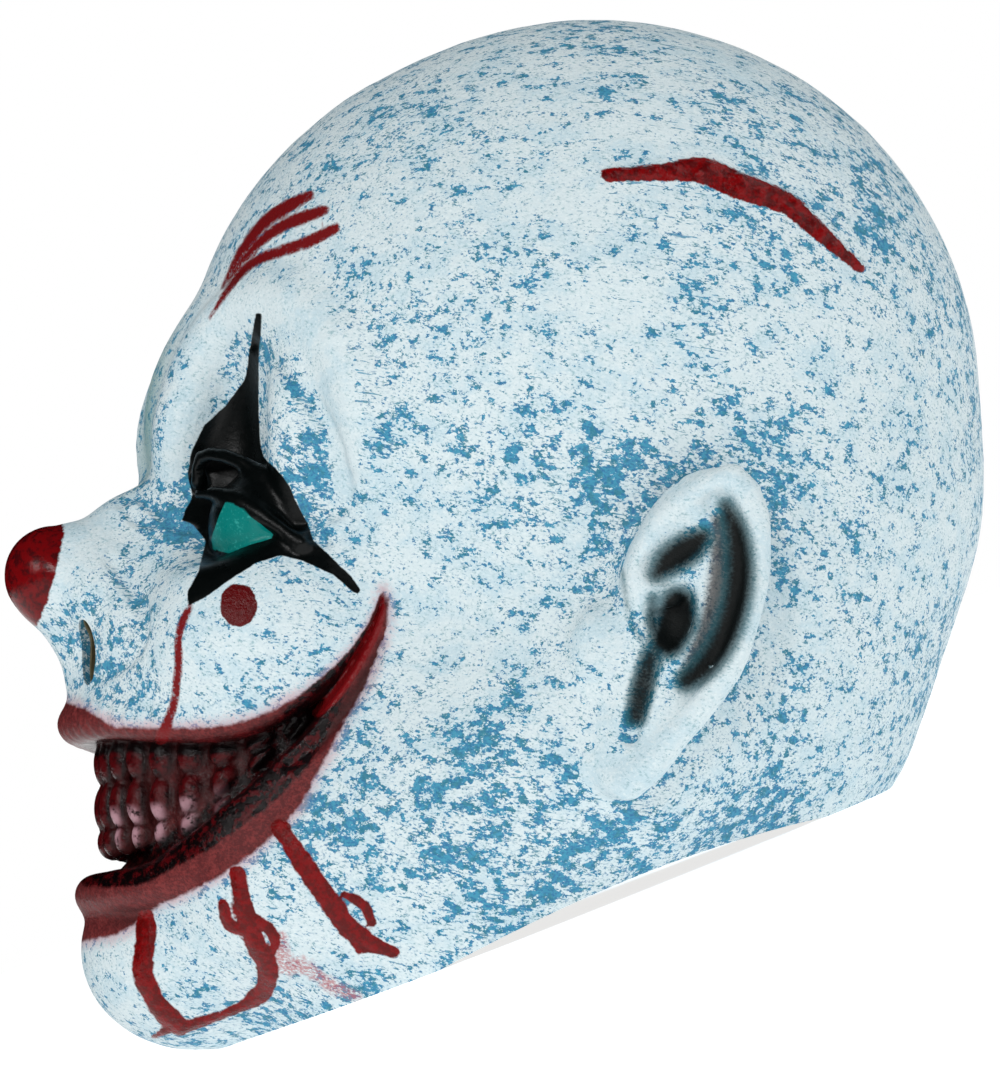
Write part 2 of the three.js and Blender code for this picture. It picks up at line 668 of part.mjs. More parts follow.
// The ground under the rim, arched a little over each shoulder
function archedGround() {
  const [middle, rise, half] = RIM_ARCH;
  const radius = (half * half + rise * rise) / (2 * rise);
  const spread = Math.asin(half / radius);
  const outline = new THREE.Shape();
  outline.moveTo(-GROUND_REACH, -GROUND_DEPTH);
  outline.lineTo(GROUND_REACH, -GROUND_DEPTH);
  outline.lineTo(GROUND_REACH, 0);
  outline.absarc(middle, rise - radius, radius, Math.PI / 2 - spread, Math.PI / 2 + spread);
  outline.lineTo(-GROUND_REACH, 0);
  const depth = 2 * GROUND_REACH;
  const solid = new THREE.ExtrudeGeometry(outline, { depth, bevelEnabled: false, curveSegments: 40 });
  const along = [new THREE.Vector3(0, 1, 0), new THREE.Vector3(0, 0, 1), new THREE.Vector3(1, 0, 0)];
  solid.applyMatrix4(new THREE.Matrix4().makeBasis(...along));
  return solid.translate(-GROUND_REACH, 0, ground).rotateX(radians(TILT));
}

let skin = outerSolid.subtract(innerSolid).subtract(solidOf(archedGround()));
for (const hole of [...holes(SLOT, "y", 22), ...holes(NOSTRIL, "z", -41)]) skin = skin.subtract(hole);

// The cut skin, thinned once more so that no sliver is left along a cut, and set on its rim
function triples(list) {
  const out = [];
  for (let i = 0; i < list.length; i += 3) out.push(Array.from(list.slice(i, i + 3)));
  return out;
}
const cut = skin.getMesh();
const points = triples(cut.vertProperties);
const kept = thin(points, triples(cut.triVerts), SKIN_TRIANGLES);
const stood = new THREE.BufferGeometry();
stood.setAttribute("position", new THREE.Float32BufferAttribute(points.flat(), 3));
stood.rotateX(-radians(TILT));
stood.translate(0, CENTRE_SHIFT, -ground);
const height = stood.attributes.position;
for (let i = 0; i < height.count; i++) if (Math.abs(height.getZ(i)) < 0.08) height.setZ(i, 0);
stood.setIndex(kept.flat());
const geometry = stood.toNonIndexed();
geometry.computeVertexNormals();

const latex = new THREE.MeshStandardMaterial({ color: 0xc2dce0, roughness: 0.55, metalness: 0 });
const mask = new THREE.Mesh(geometry, latex);
mask.name = "clown_mask";

const group = new THREE.Group();
group.add(mask);

export default group;
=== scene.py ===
import math

import bmesh
import bpy
import numpy as np
from mathutils import Matrix, Vector


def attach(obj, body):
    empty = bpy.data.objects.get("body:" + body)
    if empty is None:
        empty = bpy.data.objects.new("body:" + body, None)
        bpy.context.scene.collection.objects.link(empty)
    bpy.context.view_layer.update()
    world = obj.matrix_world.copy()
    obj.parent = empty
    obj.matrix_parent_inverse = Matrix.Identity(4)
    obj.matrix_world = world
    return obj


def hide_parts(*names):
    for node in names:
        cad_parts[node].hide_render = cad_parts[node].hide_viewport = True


# A full-head clown mask of cast latex, one painted skin that stands on its arched neck rim.
# The head is described upright in millimetres (x to its left, y back, z up) as one field of
# signed distances, and tilted back at the end so that its neck rim lies flat on the ground.

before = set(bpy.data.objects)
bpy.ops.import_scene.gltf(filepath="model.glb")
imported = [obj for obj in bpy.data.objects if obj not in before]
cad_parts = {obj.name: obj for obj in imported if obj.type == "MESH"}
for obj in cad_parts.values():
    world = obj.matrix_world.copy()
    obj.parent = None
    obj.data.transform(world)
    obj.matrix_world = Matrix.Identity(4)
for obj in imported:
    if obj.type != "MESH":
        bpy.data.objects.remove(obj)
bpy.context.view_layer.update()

# How far the head leans back from the plane of its rim, where that plane cuts the head's upright
# axis, the wall's thickness, and the shift that centres the mask over its bounding box
TILT = math.radians(21.5)
RIM = -105.2
WALL = 2.8
CENTRE_SHIFT = 18.7
GROUND = RIM * math.cos(TILT)
# The arch of the rim over each shoulder: its middle, its height and half its length
RIM_ARCH = (-30, 4.3, 59)

# Rounded masses of the head: centre and half sizes, or two ends with a radius each
CRANIUM = ((0, 10.6, 37.5), (93, 105.5, 103.5))
FOREHEAD = ((0, -25, 35), (80, 78.5, 87))
OCCIPUT = ((0, 26, 6), (82, 89, 60))
NAPE = ((0, 14, -27), (85, 89, 87))
JAW_BASE = ((0, -30, -85), (73, 70, 85))
JAW_SIDE = ((58, 0, -60, 33), (29, -84, -93, 31))
MIDFACE = ((0, -66, -38), (58, 63, 60))
BROW = ((0, -87, 27), (30, 28, 35))
CHIN = ((0, -101, -115.5), (31, 30.5, 27))
CHEEK = ((37, -84, -34), (26, 36, 28))
SOCKET = ((40, -104, 18), (19, 15, 30))
EYE_BAG = ((47, -80, 19), (12, 9, 25))
EYEBALL = ((35, -86, -4), (17.5, 17.5, 16))
NOSE = ((0, -140, -15, 13.3), (0, -106, -15, 22))
NOSE_WING = ((11, -126, -23, 12), (17, -114, -34, 14))
NOSE_BRIDGE = ((0, -139, -23, 7.5), (0, -126, -41, 8))
NOSE_ROOT = ((0, -111.5, -1), (14, 17, 10.5))
NOSE_SIDE = ((18.5, -121, -31), (11.5, 9.5, 12.5))
SLOT = ((31, -101, 9), (7.5, 14, 3.6))
NOSTRIL = ((13.5, -131.5, -36.5), (9, 3.9, 9.5))

# Boxes of the left half, low corner and high corner, past which a feature changes nothing
CHEEK_BOX = ((-1, -160, -110), (90, -20, 30))
BROW_BOX = ((-1, -130, -30), (85, -40, 80))
NOSE_BOX = ((-1, -165, -80), (60, -75, 30))
EYE_BOX = ((5, -115, -30), (65, -50, 25))
LID_BOX = ((8, -120, -35), (70, -60, 30))
GROOVE_BOX = ((10, -140, -55), (75, -60, 55))
MOUTH_BOX = ((-1, -150, -115), (75, -40, -8))
HOLLOW_BOX = ((-1, -150, -125), (75, -40, 2))
EAR_BOX = ((70, -45, -100), (130, 60, 25))

# The mouth follows an ellipse in plan; its edges are heights at degrees round that ellipse
ARCH_Y = -63
LIP = (57, 69.5)
TEETH = (49.5, 62.5)
UPPER = ((0, -60.5), (21, -60.5), (42, -62), (60, -61.5), (72, -56), (81, -47), (87.5, -36), (92, -22))
LOWER = ((0, -95.3), (17, -95), (36, -93), (52, -85.5), (67, -71.5), (78, -58), (87.5, -39), (92, -24))
UPPER_LIP = ((0, 5.6), (30, 5), (60, 3.2), (80, 3), (92, 2.5))
LOWER_LIP = ((0, 5.5), (30, 5.7), (60, 6), (80, 4), (92, 2.5))
MUZZLE = ((0, 13), (40, 13), (70, 12), (92, 9))
MOUTH_END = 92
TOOTH_PITCH = 9.8
TOOTH_LEAN = 2.6
# Tiers down the mouth: middle and half height as shares of the mouth, half width, depth,
# the swing of the middle and the shift to one side from tooth to tooth, and the join's softness
TOOTH_TIERS = (
    (0.14, 0.185, 4.1, 3.3, 0, 0, 0),
    (0.47, 0.205, 3.9, 4.1, 0.02, 0.4, 0.5),
    (0.77, 0.135, 3.6, 3.7, -0.02, -0.7, 0.5),
)

# Lines of rounded sticks: (x, y, z, radius)
BROW_RIDGE = (
    (9, -107, 4, 5), (11, -108.2, 13.4, 6.5), (14, -107.8, 22.2, 7.4), (16.4, -105.8, 30.7, 7.8),
    (17.5, -102, 41, 7.8), (20.5, -97, 50, 7.9), (32.3, -89.3, 56, 8.3), (47.1, -81, 54, 8.5),
    (59.6, -71.7, 41.3, 8.7), (63.6, -67, 24.2, 8.4), (62.2, -65.4, 12, 7), (57.5, -66, 1, 3),
)
UPPER_LID = (
    (22, -104.3, 9, 1.8), (25, -103.8, 15, 2), (34, -98.8, 14.5, 2), (45, -89.8, 8, 2),
    (57, -74.8, -6, 1.6),
)
LID_FOLD = (
    (31, -105.5, 4.5, 1.4), (37, -102.5, 4, 2), (43.5, -98.8, 2, 2.4), (50.5, -92.6, -2.4, 2.4),
    (57, -82.5, -11, 1.6),
)
LOWER_LID = (
    (21, -106, -8, 2.4), (27, -106, -16, 2.8), (38, -101, -18, 2.6), (48, -91.5, -15, 2.4),
    (55, -81, -10, 2),
)

# Grooves of the face: under the brow's outer end, and behind the wing of the nose
BROW_GROOVE = (
    (37, -92, 44, 0.4), (55.8, -86, 34.5, 0.9), (60, -78.6, 24.6, 1.2), (63, -73.6, 13.5, 1.2),
    (61.2, -70.5, 0.5, 0.6),
)
NOSE_GROOVE = (
    (18.9, -127.4, -12.4, 0.8), (23.3, -124.6, -17.6, 1.2), (30.2, -121.8, -24.1, 1.6),
    (36.5, -121.4, -31.4, 1.7), (34.7, -123, -37.9, 1.6), (28.4, -127.2, -42.3, 1.4),
    (18.9, -132, -44.8, 1),
)

# The ear stands off the head in a sloping plane. Its lines are (y, z, height off the plane, radius),
# and its plate and lobe are rounded masses in that plane's own directions.
EAR_SLOPE = 0.42
EAR_OUT = (0.92, -0.39)
EAR_X = 93
HELIX = (
    (8, -27, 0, 2.8), (2.5, -27, 0, 3), (0, -22, 1, 3.2), (3, -12.5, 1.5, 3.4), (10, -3.5, 1.5, 3.6),
    (23, 3.5, 1.5, 3.8), (28.3, -6, 1.5, 3.8), (28.7, -15, 1.5, 3.8), (28.2, -25, 1.5, 3.8),
    (23.5, -42, 1.5, 3.8), (18.5, -51.5, 1, 3.8), (8, -64.5, 0.5, 4), (-3, -75.5, -1, 4.6),
    (-8.5, -71, -4, 4.4),
)
ANTIHELIX = ((20, -9, 1, 2), (17.5, -26, 1.5, 2.8), (13.5, -41, 1, 2.8), (7.5, -47, 0, 2.6))
SCAPHA = (
    (20, -4, 4, 2.4), (23.7, -17, 4, 2.8), (22, -29, 4, 2.8), (17.5, -41.5, 4, 2.6),
    (11.5, -50.5, 4, 2),
)
FOSSA = ((5, -19.5, 4, 3), (10, -15.5, 4, 3.4), (15.5, -12, 4, 2.8))
NOTCH = ((4, -40, 3.5, 3), (0.5, -52, 2.5, 3), (-2.2, -63, 2, 2.6))
EAR_PLATE = ((-1.5, 4, -20), (5.5, 18, 27))
EAR_LOBE = ((-2.5, -8, -56), (5.5, 11.5, 24))
EAR_ROOT = ((88, 8, -34), (10, 14, 28))
CONCHA = ((102, 7.5, -32.5), (8, 6.5, 9))
TRAGUS = ((88, -7, -41), (6, 9, 12))


def blend(a, b, k):
    """The smooth union of two distances."""
    h = np.clip(0.5 + 0.5 * (b - a) / k, 0, 1)
    return b + (a - b) * h - k * h * (1 - h)


def carve(a, b, k):
    """a with b cut out of it, with an edge softened over k."""
    return -blend(-a, b, k)


def turn_pair(a, b, degrees):
    c, s = math.cos(math.radians(degrees)), math.sin(math.radians(degrees))
    return c * a + s * b, c * b - s * a


def ellipsoid(p, shape, axis="", degrees=0):
    """The distance outside an ellipsoid, turned about one of its own axes by some degrees."""
    (cx, cy, cz), (rx, ry, rz) = shape
    x, y, z = p[0] - cx, p[1] - cy, p[2] - cz
    if axis == "x":
        y, z = turn_pair(y, z, degrees)
    if axis == "y":
        z, x = turn_pair(z, x, degrees)
    if axis == "z":
        x, y = turn_pair(x, y, degrees)
    k0 = np.sqrt((x / rx) ** 2 + (y / ry) ** 2 + (z / rz) ** 2) + 1e-6
    k1 = np.sqrt((x / rx**2) ** 2 + (y / ry**2) ** 2 + (z / rz**2) ** 2) + 1e-9
    return k0 * (k0 - 1) / k1


def capsule(p, a, b):
    """The distance outside a rounded stick whose ends are (x, y, z, radius)."""
    d = [b[i] - a[i] for i in range(3)]
    q = [p[i] - a[i] for i in range(3)]
    h = np.clip((q[0] * d[0] + q[1] * d[1] + q[2] * d[2]) / (d[0] ** 2 + d[1] ** 2 + d[2] ** 2), 0, 1)
    away = np.sqrt((q[0] - h * d[0]) ** 2 + (q[1] - h * d[1]) ** 2 + (q[2] - h * d[2]) ** 2)
    return away - (a[3] + (b[3] - a[3]) * h)


def links(points, steps=2):
    """Points along a smooth curve through the given ones, with the radius going evenly."""
    pts = np.array(points, float)
    ends = np.vstack([2 * pts[0] - pts[1], pts, 2 * pts[-1] - pts[-2]])
    out = []
    for i in range(len(pts) - 1):
        a, b, c, d = ends[i : i + 4]
        for t in np.arange(steps) / steps:
            curved = (2 * a - 5 * b + 4 * c - d) * t**2 + (3 * b - a - 3 * c + d) * t**3
            q = 0.5 * (2 * b + (c - a) * t + curved)
            q[3:] = b[3:] + (c[3:] - b[3:]) * t
            out.append(q)
    out.append(pts[-1])
    return np.array(out)


def tube(p, line):
    """The distance outside a chain of rounded sticks."""
    out = capsule(p, line[0], line[1])
    for a, b in zip(line[1:-1], line[2:]):
        out = np.minimum(out, capsule(p, a, b))
    return out


def along(t, keys):
    """A smooth curve through (place, value) keys, level at the first key."""
    ts = np.array([k[0] for k in keys], float)
    vs = np.array([k[1] for k in keys], float)
    slope = np.zeros(len(ts))
    slope[1:-1] = (vs[2:] - vs[:-2]) / (ts[2:] - ts[:-2])
    slope[-1] = (vs[-1] - vs[-2]) / (ts[-1] - ts[-2])
    i = np.clip(np.searchsorted(ts, t) - 1, 0, len(ts) - 2)
    h = ts[i + 1] - ts[i]
    u = np.clip((t - ts[i]) / h, 0, 1)
    start = (2 * u**3 - 3 * u**2 + 1) * vs[i] + (u**3 - 2 * u**2 + u) * h * slope[i]
    return (start + (3 * u**2 - 2 * u**3) * vs[i + 1] + (u**3 - u**2) * h * slope[i + 1]).astype(np.float32)


def arch_place(p, size):
    """Degrees round an ellipse of the mouth from the front, and the distance outside it."""
    x, y = np.abs(p[0]), p[1] - ARCH_Y
    turn = np.degrees(np.arctan2(x / size[0], -y / size[1]))
    k0 = np.sqrt((x / size[0]) ** 2 + (y / size[1]) ** 2) + 1e-6
    k1 = np.sqrt((x / size[0] ** 2) ** 2 + (y / size[1] ** 2) ** 2) + 1e-9
    return turn, k0 * (k0 - 1) / k1


def lip_line(edge, rise, radii, side, rx, ry):
    """A lip's line, a radius above or below the mouth's edge."""
    out = []
    for t in np.linspace(0, MOUTH_END, 17):
        r = float(along(t, radii))
        z = float(along(t, edge)) + rise + side * (r + 0.2)
        out.append((rx * math.sin(math.radians(t)), ARCH_Y - ry * math.cos(math.radians(t)), z, r))
    return out


upper_lip = lip_line(UPPER, 0, UPPER_LIP, 1, LIP[0], LIP[1])
lower_lip = lip_line(LOWER, 0, LOWER_LIP, -1, LIP[0] - 1, LIP[1] - 5)
muzzle = lip_line(UPPER, 13, MUZZLE, 0, LIP[0] - 10, LIP[1] - 11)
brow_ridge = links(BROW_RIDGE)
upper_lid = links(UPPER_LID)
lid_fold = links(LID_FOLD)
lower_lid = links(LOWER_LID)
brow_groove = links(BROW_GROOVE)
nose_groove = links(NOSE_GROOVE)


def ear_links(points):
    """Points of the ear's plane as points of the head."""
    placed = []
    for y, z, off, radius in points:
        x = EAR_X + EAR_SLOPE * (y + 5) + EAR_OUT[0] * off
        placed.append((x, y + EAR_OUT[1] * off, z, radius))
    return links(placed)


helix, antihelix, scapha, fossa, notch = (ear_links(q) for q in (HELIX, ANTIHELIX, SCAPHA, FOSSA, NOTCH))


def head_mass(p):
    """The bald head without its features."""
    side = (np.sqrt(p[0] ** 2 + 1), p[1], p[2])
    d = ellipsoid(p, CRANIUM)
    for mass, soft in ((FOREHEAD, 12), (OCCIPUT, 14), (NAPE, 20), (JAW_BASE, 14)):
        d = blend(d, ellipsoid(p, mass), soft)
    d = blend(d, capsule(side, *JAW_SIDE), 22)
    for mass, soft in ((MIDFACE, 20), (BROW, 10), (CHIN, 14)):
        d = blend(d, ellipsoid(p, mass), soft)
    return d


def within(p, d, box, change):
    """Changes the distances only at points in a box, left or right alike."""
    low, high = box
    q = (np.abs(p[0]), p[1], p[2])
    inside = np.ones(len(d), bool)
    for axis in range(3):
        inside &= (q[axis] > low[axis]) & (q[axis] < high[axis])
    near = np.flatnonzero(inside)
    if len(near):
        d[near] = change(tuple(v[near] for v in q), d[near])
    return d


def cheeks(q, d):
    d = blend(d, ellipsoid(q, CHEEK), 9)
    return blend(d, tube(q, muzzle), 10)


def brows(q, d):
    d = carve(d, ellipsoid(q, SOCKET, "z", -28), 12)
    d = blend(d, ellipsoid(q, EYE_BAG, "z", -38), 6)
    return blend(d, tube(q, brow_ridge), 4.5)


def nose(q, d):
    n = capsule(q, *NOSE)
    n = blend(n, capsule(q, *NOSE_WING), 7)
    n = blend(n, capsule(q, *NOSE_BRIDGE), 5)
    n = blend(n, ellipsoid(q, NOSE_ROOT), 6)
    d = blend(d, n, 8)
    return blend(d, ellipsoid(q, NOSE_SIDE), 3)


def face_mass(p):
    """The head with cheeks, brows, nose and eyeballs, which the inside follows too."""
    d = head_mass(p)
    d = within(p, d, CHEEK_BOX, cheeks)
    d = within(p, d, BROW_BOX, brows)
    d = within(p, d, NOSE_BOX, nose)
    return within(p, d, EYE_BOX, lambda q, e: blend(e, ellipsoid(q, EYEBALL), 1.5))


def lids(q, d):
    d = blend(d, tube(q, upper_lid), 3)
    d = blend(d, tube(q, lid_fold), 2)
    return blend(d, tube(q, lower_lid), 4)


def grooves(q, d):
    d = carve(d, tube(q, brow_groove), 3)
    return carve(d, tube(q, nose_groove), 2.5)


def mouth_gap(q):
    """The distance outside the open mouth."""
    t, out = arch_place(q, TEETH)
    gap = np.maximum(q[2] - along(t, UPPER), along(t, LOWER) - q[2]) * 0.8
    return np.maximum(np.maximum(gap, (t - 91) * 1.1), -out)


def tooth_place(q):
    """Where a point is among the teeth: round the arch, out of it, down it, its height, and the tooth."""
    t, out = arch_place(q, TEETH)
    up = along(t, UPPER)
    high = np.maximum(up - along(t, LOWER), 3)
    c, s = np.cos(np.radians(t)), np.sin(np.radians(t))
    degree = math.radians(1) * np.sqrt((TEETH[0] * c) ** 2 + (TEETH[1] * s) ** 2)
    number = np.floor(t / TOOTH_PITCH)
    across = (t - (number + 0.5) * TOOTH_PITCH) * degree
    return t, out, up - q[2], high, across, np.sin(number * 12.9 + 1.7)


def teeth(q):
    """Three tiers round the arch: gum ridges, upper teeth and lower teeth."""
    t, out, down, high, across, vary = tooth_place(q)
    row = None
    for middle, half, wide, deep, swing, shift, soft in TOOTH_TIERS:
        middle = middle + swing * vary
        h = np.maximum(high * half, 1.2)
        lean = out + 0.2 + TOOTH_LEAN * middle
        e = ((across + shift * vary) / wide) ** 2 + (lean / deep) ** 2 + ((down - high * middle) / h) ** 2
        lump = (np.sqrt(e) - 1) * np.minimum(min(wide, deep), h) * 0.9
        row = blend(row, lump, soft) if soft else lump
    return np.maximum(row, (t - 84) * 1.1)


def mouth(q, d):
    d = carve(d, mouth_gap(q), 2.5)
    d = blend(d, tube(q, upper_lip), 4)
    d = blend(d, tube(q, lower_lip), 4)
    return blend(d, teeth(q), 0.8)


def ear(q, d):
    turn = math.degrees(math.atan(EAR_SLOPE))
    normal, across = turn_pair(q[0] - EAR_X - EAR_SLOPE * 15, q[1] - 10, -turn)
    flat = (normal, across, q[2])
    e = ellipsoid(flat, EAR_PLATE, "x", -16)
    e = blend(e, ellipsoid(flat, EAR_LOBE, "x", -22), 6)
    e = blend(e, ellipsoid(q, EAR_ROOT), 5)
    e = carve(e, ellipsoid(q, CONCHA), 4)
    e = blend(e, tube(q, helix), 3)
    e = blend(e, tube(q, antihelix), 2.5)
    e = carve(e, tube(q, scapha), 4)
    e = carve(e, tube(q, fossa), 4)
    e = blend(e, ellipsoid(q, TRAGUS), 4)
    e = carve(e, tube(q, notch), 2.5)
    return blend(d, e, 5)


def outer(p):
    """The distance outside the mask."""
    d = face_mass(p)
    d = within(p, d, LID_BOX, lids)
    d = within(p, d, GROOVE_BOX, grooves)
    d = within(p, d, MOUTH_BOX, mouth)
    return within(p, d, EAR_BOX, ear)


def inner(p, wall):
    """The distance outside the hollow for the head."""
    d = face_mass(p)
    d = within(p, d, HOLLOW_BOX, lambda q, e: carve(e, mouth_gap(q), 8))
    return d + wall


# The plane that faces the mask's left side: its turn and rise round the upright head, the
# middle of it, and the distance from which it is seen
SIDE_TURN = math.radians(12)
SIDE_RISE = math.radians(-6)
SIDE_MIDDLE = np.array((0, -16.8, -1.9))
SIDE_AWAY = 2000
# Millimetres of the side plane that the picture shows from top to bottom: 1074 pixels
PICTURE_TALL = 1074 / 3.656
SIDE_RIGHT = np.array((math.sin(SIDE_TURN), math.cos(SIDE_TURN), 0))
SIDE_LEVEL = np.array((math.cos(SIDE_TURN), -math.sin(SIDE_TURN), 0))
SIDE_BACK = math.cos(SIDE_RISE) * SIDE_LEVEL + (0, 0, math.sin(SIDE_RISE))
SIDE_UP = np.cross(SIDE_RIGHT, -SIDE_BACK)


def side_place(q):
    """Millimetres across and up on the side plane."""
    offset = [q[i] - SIDE_MIDDLE[i] for i in range(3)]
    scale = SIDE_AWAY / (SIDE_AWAY - sum(offset[i] * SIDE_BACK[i] for i in range(3)))
    across = sum(offset[i] * SIDE_RIGHT[i] for i in range(3)) * scale
    up = sum(offset[i] * SIDE_UP[i] for i in range(3)) * scale
    return across, up


# Painted shapes on the side plane: closed outlines, and strokes of (across, up, half width)
PATCH = (
    (-66, 59.5), (-68.5, 51.5), (-69.5, 43.5), (-75, 36), (-81, 30.5), (-84.5, 23), (-85.5, 17),
    (-84, 11), (-86, 7.5), (-87, 4.5), (-84, 3.5), (-80.5, -1), (-82.5, -9.5), (-85.5, -15),
    (-85.5, -19), (-80.5, -16.5), (-74.5, -12), (-66.5, -7), (-60, -5), (-54, -6.5), (-47.5, -9.5),
    (-42, -12), (-38.5, -15), (-40, -12), (-46, -5.5), (-51, -1), (-52.5, 3.5), (-56, 10),
    (-57.5, 14), (-60.5, 18), (-64.5, 21.5), (-65.5, 25), (-66, 34.5), (-66, 46.5), (-66, 54),
)
PATCH_TIPS = (
    ((-66, 60.5, 0.9), (-66.8, 54, 1.2), (-67.5, 46, 1.2)),
    ((-46, -8, 1.6), (-42, -11.5, 1.4), (-39, -15, 1)),
)
IRIS = (
    (-74.5, 11), (-77, 5.5), (-79, -0.5), (-78.5, -3.5), (-74, -4.5), (-67.5, -3.5), (-63, -2.5),
    (-59, -1), (-62, 2.5), (-65.5, 5.5), (-69.5, 8.5),
)
MOUTH_RED = (
    (-126, -46), (-119.5, -45), (-113.5, -47), (-107, -51), (-98.5, -55.5), (-91.5, -57.5),
    (-83, -58.5), (-75, -57), (-65, -55), (-55.5, -51), (-47, -44.5), (-40.5, -36.5), (-35.5, -28),
    (-33, -20), (-32, -15), (-30.5, -17), (-31, -24), (-33.5, -32.5), (-37.5, -42), (-42.5, -50.5),
    (-47, -59), (-50.5, -65.5), (-53.5, -72), (-57.5, -77), (-63, -82.5), (-69.5, -88), (-78, -93.5),
    (-86, -97.5), (-93, -100.5), (-100, -106), (-105.5, -109), (-110.5, -110), (-120.5, -111.5),
    (-126, -99.5),
)
BROW_STROKES = (
    ((-76, 68, 0.5), (-71, 78, 1.2), (-64, 86.5, 1.8), (-57, 91, 1.9), (-52, 93.5, 1.4)),
    ((-74.5, 70, 0.5), (-68.5, 78, 1.2), (-60.5, 84.5, 1.6), (-53.5, 87.5, 1.9), (-48, 89.5, 1.4)),
    (
        (-80, 59, 0.3), (-74.5, 67.5, 1), (-68.5, 74.5, 1.4), (-60.5, 78, 1.6), (-53, 80.5, 1.8),
        (-45, 84.5, 1.5),
    ),
)
TEAR = (
    (-84.5, -18.5, 0.8), (-86.5, -22.5, 1.2), (-88, -28, 1.2), (-88, -35.5, 1.2), (-89, -44.5, 1.2),
    (-90.5, -49.5, 1.4), (-92.5, -55, 1.9),
)
DOT = ((-71.5, -17.5, 4.8), (-71.5, -19.5, 5))
SMILE = (
    (-50, -48, 1.4), (-44, -42, 1.8), (-39, -34, 1.9), (-35, -27, 1.8), (-32.5, -20.5, 1.2),
    (-32, -15.5, 0.4),
)
SCAR = (
    (29.5, 99, 1.9), (39.5, 99.5, 2.1), (47, 100, 2.6), (55.5, 100.3, 3.6), (65.5, 96, 3.6),
    (78, 91.5, 3), (84, 86.5, 2.6), (90, 81, 2.1), (98.5, 73.5, 1.3),
)
DRIPS = (
    (
        (-96.5, -104, 2.3), (-97, -112.5, 2.5), (-97.5, -120, 2.6), (-95, -125.5, 2.6),
        (-91.5, -130.5, 2.7), (-87.5, -134, 2.5),
    ),
    ((-86, -134, 1.4), (-74.5, -130, 1), (-67.5, -127, 1.4)),
    ((-89, -134, 1.2), (-94.5, -136.5, 0.7)),
    (
        (-72, -92, 1.9), (-70, -101.5, 2.1), (-68.5, -106.5, 2.6), (-66, -112.5, 2.5),
        (-63.5, -118, 2.7), (-64.5, -124, 2.3), (-69, -127.5, 1.4),
    ),
    ((-76, -100, 1.1), (-74, -106, 1.4), (-69.5, -108, 1.1)),
    ((-68.5, -104, 1.1), (-63.5, -107, 1.5), (-61.5, -111, 1.4), (-62.5, -113.5, 0.8)),
    (
        (-60, -80, 2.5), (-54, -89, 2.6), (-49, -96.5, 2.7), (-45, -101.5, 3), (-41, -107, 2.7),
        (-35, -111, 2.1), (-29, -113.5, 1.1),
    ),
    ((-42.5, -98, 1.1), (-37.5, -100.5, 1.6), (-35, -105.5, 1.1)),
    ((-41, -108, 0.7), (-39, -111.5, 1), (-38.5, -113, 0.7)),
)
FAR_DRIPS = (
    ((-93, -102, 2.2), (-92, -112, 2.4), (-94, -119, 1.7)),
    ((-62, -82, 2.2), (-57, -91, 2.4), (-54, -99, 1.6)),
)
SMEAR = (
    (-60, -110, 1.6), (-59, -117, 2.5), (-53.5, -117.5, 1.9), (-46.5, -122.5, 1.6),
    (-39.5, -125.5, 1.6),
)
CREASES = (
    ((-104, 9, 0.8), (-100, 11, 1), (-96.5, 9.5, 1.2), (-90, 3.5, 1.4), (-83.5, 2, 1)),
    ((-102.5, 7.5, 0.7), (-100, 4.5, 0.9), (-95, 3.5, 0.7)),
    ((-51.5, 4, 0.9), (-46.5, 5, 1), (-42.5, 7, 0.6)),
    ((-51.5, 0, 1), (-47.5, -1.5, 0.9)),
)
SMILE_CREASE = ((-58, -62, 1.5), (-50, -56, 2.2), (-42, -46, 2.2), (-36, -37, 1.8), (-32, -28, 1.2))
# The wet dark inside of the lower lip
INNER_LIP = (
    (-112, -92.5, 3.2), (-100.7, -91, 4.4), (-91.5, -86.6, 4.4), (-82, -81.2, 4.8), (-72.5, -73.8, 5.4),
    (-63.2, -65.1, 6.2), (-55.5, -54.8, 6.8), (-48.5, -43.8, 5.4), (-42.2, -35.8, 3.8), (-37.2, -27.6, 2),
)
# How far the red reaches up the upper lip, at degrees round the mouth
RED_RISE = ((0, 3.4), (40, 3), (92, 2.6))
# The blue left in the hollow inside the brow's ring, which also stands as painted shade along the ring's
# inner edge, and the white rubbed over the ring
BROW_WASH_AND_SHADE = (
    (-71, 52.5, 1), (-65, 50.5, 1.4), (-58.8, 46.5, 1.8), (-54.5, 40, 2.2), (-52, 32, 2.6),
    (-50.5, 24, 2.4), (-49.5, 17, 1.4),
)
BROW_WHITE = (
    (-90.3, 18.3, 1.6), (-87.5, 29.3, 2), (-83.2, 41.6, 2), (-79, 52, 2.4), (-75, 60, 2.6),
    (-68.4, 64.2, 3), (-58.8, 62.5, 3), (-50.2, 56.5, 3), (-45.2, 47, 2.8), (-43, 34.7, 2.6),
    (-42.2, 23.8, 2.2), (-42.2, 14, 1.4),
)
NOSE_WASH = ((-99, 8, 2.4), (-92, 4, 3), (-86, 0, 2))
# How much more or less blue each stroke leaves, and over how many millimetres it fades
WASH_STROKES = ((0.06, BROW_WASH_AND_SHADE, 3.5), (-0.34, BROW_WHITE, 2.2), (0.07, NOSE_WASH, 4))
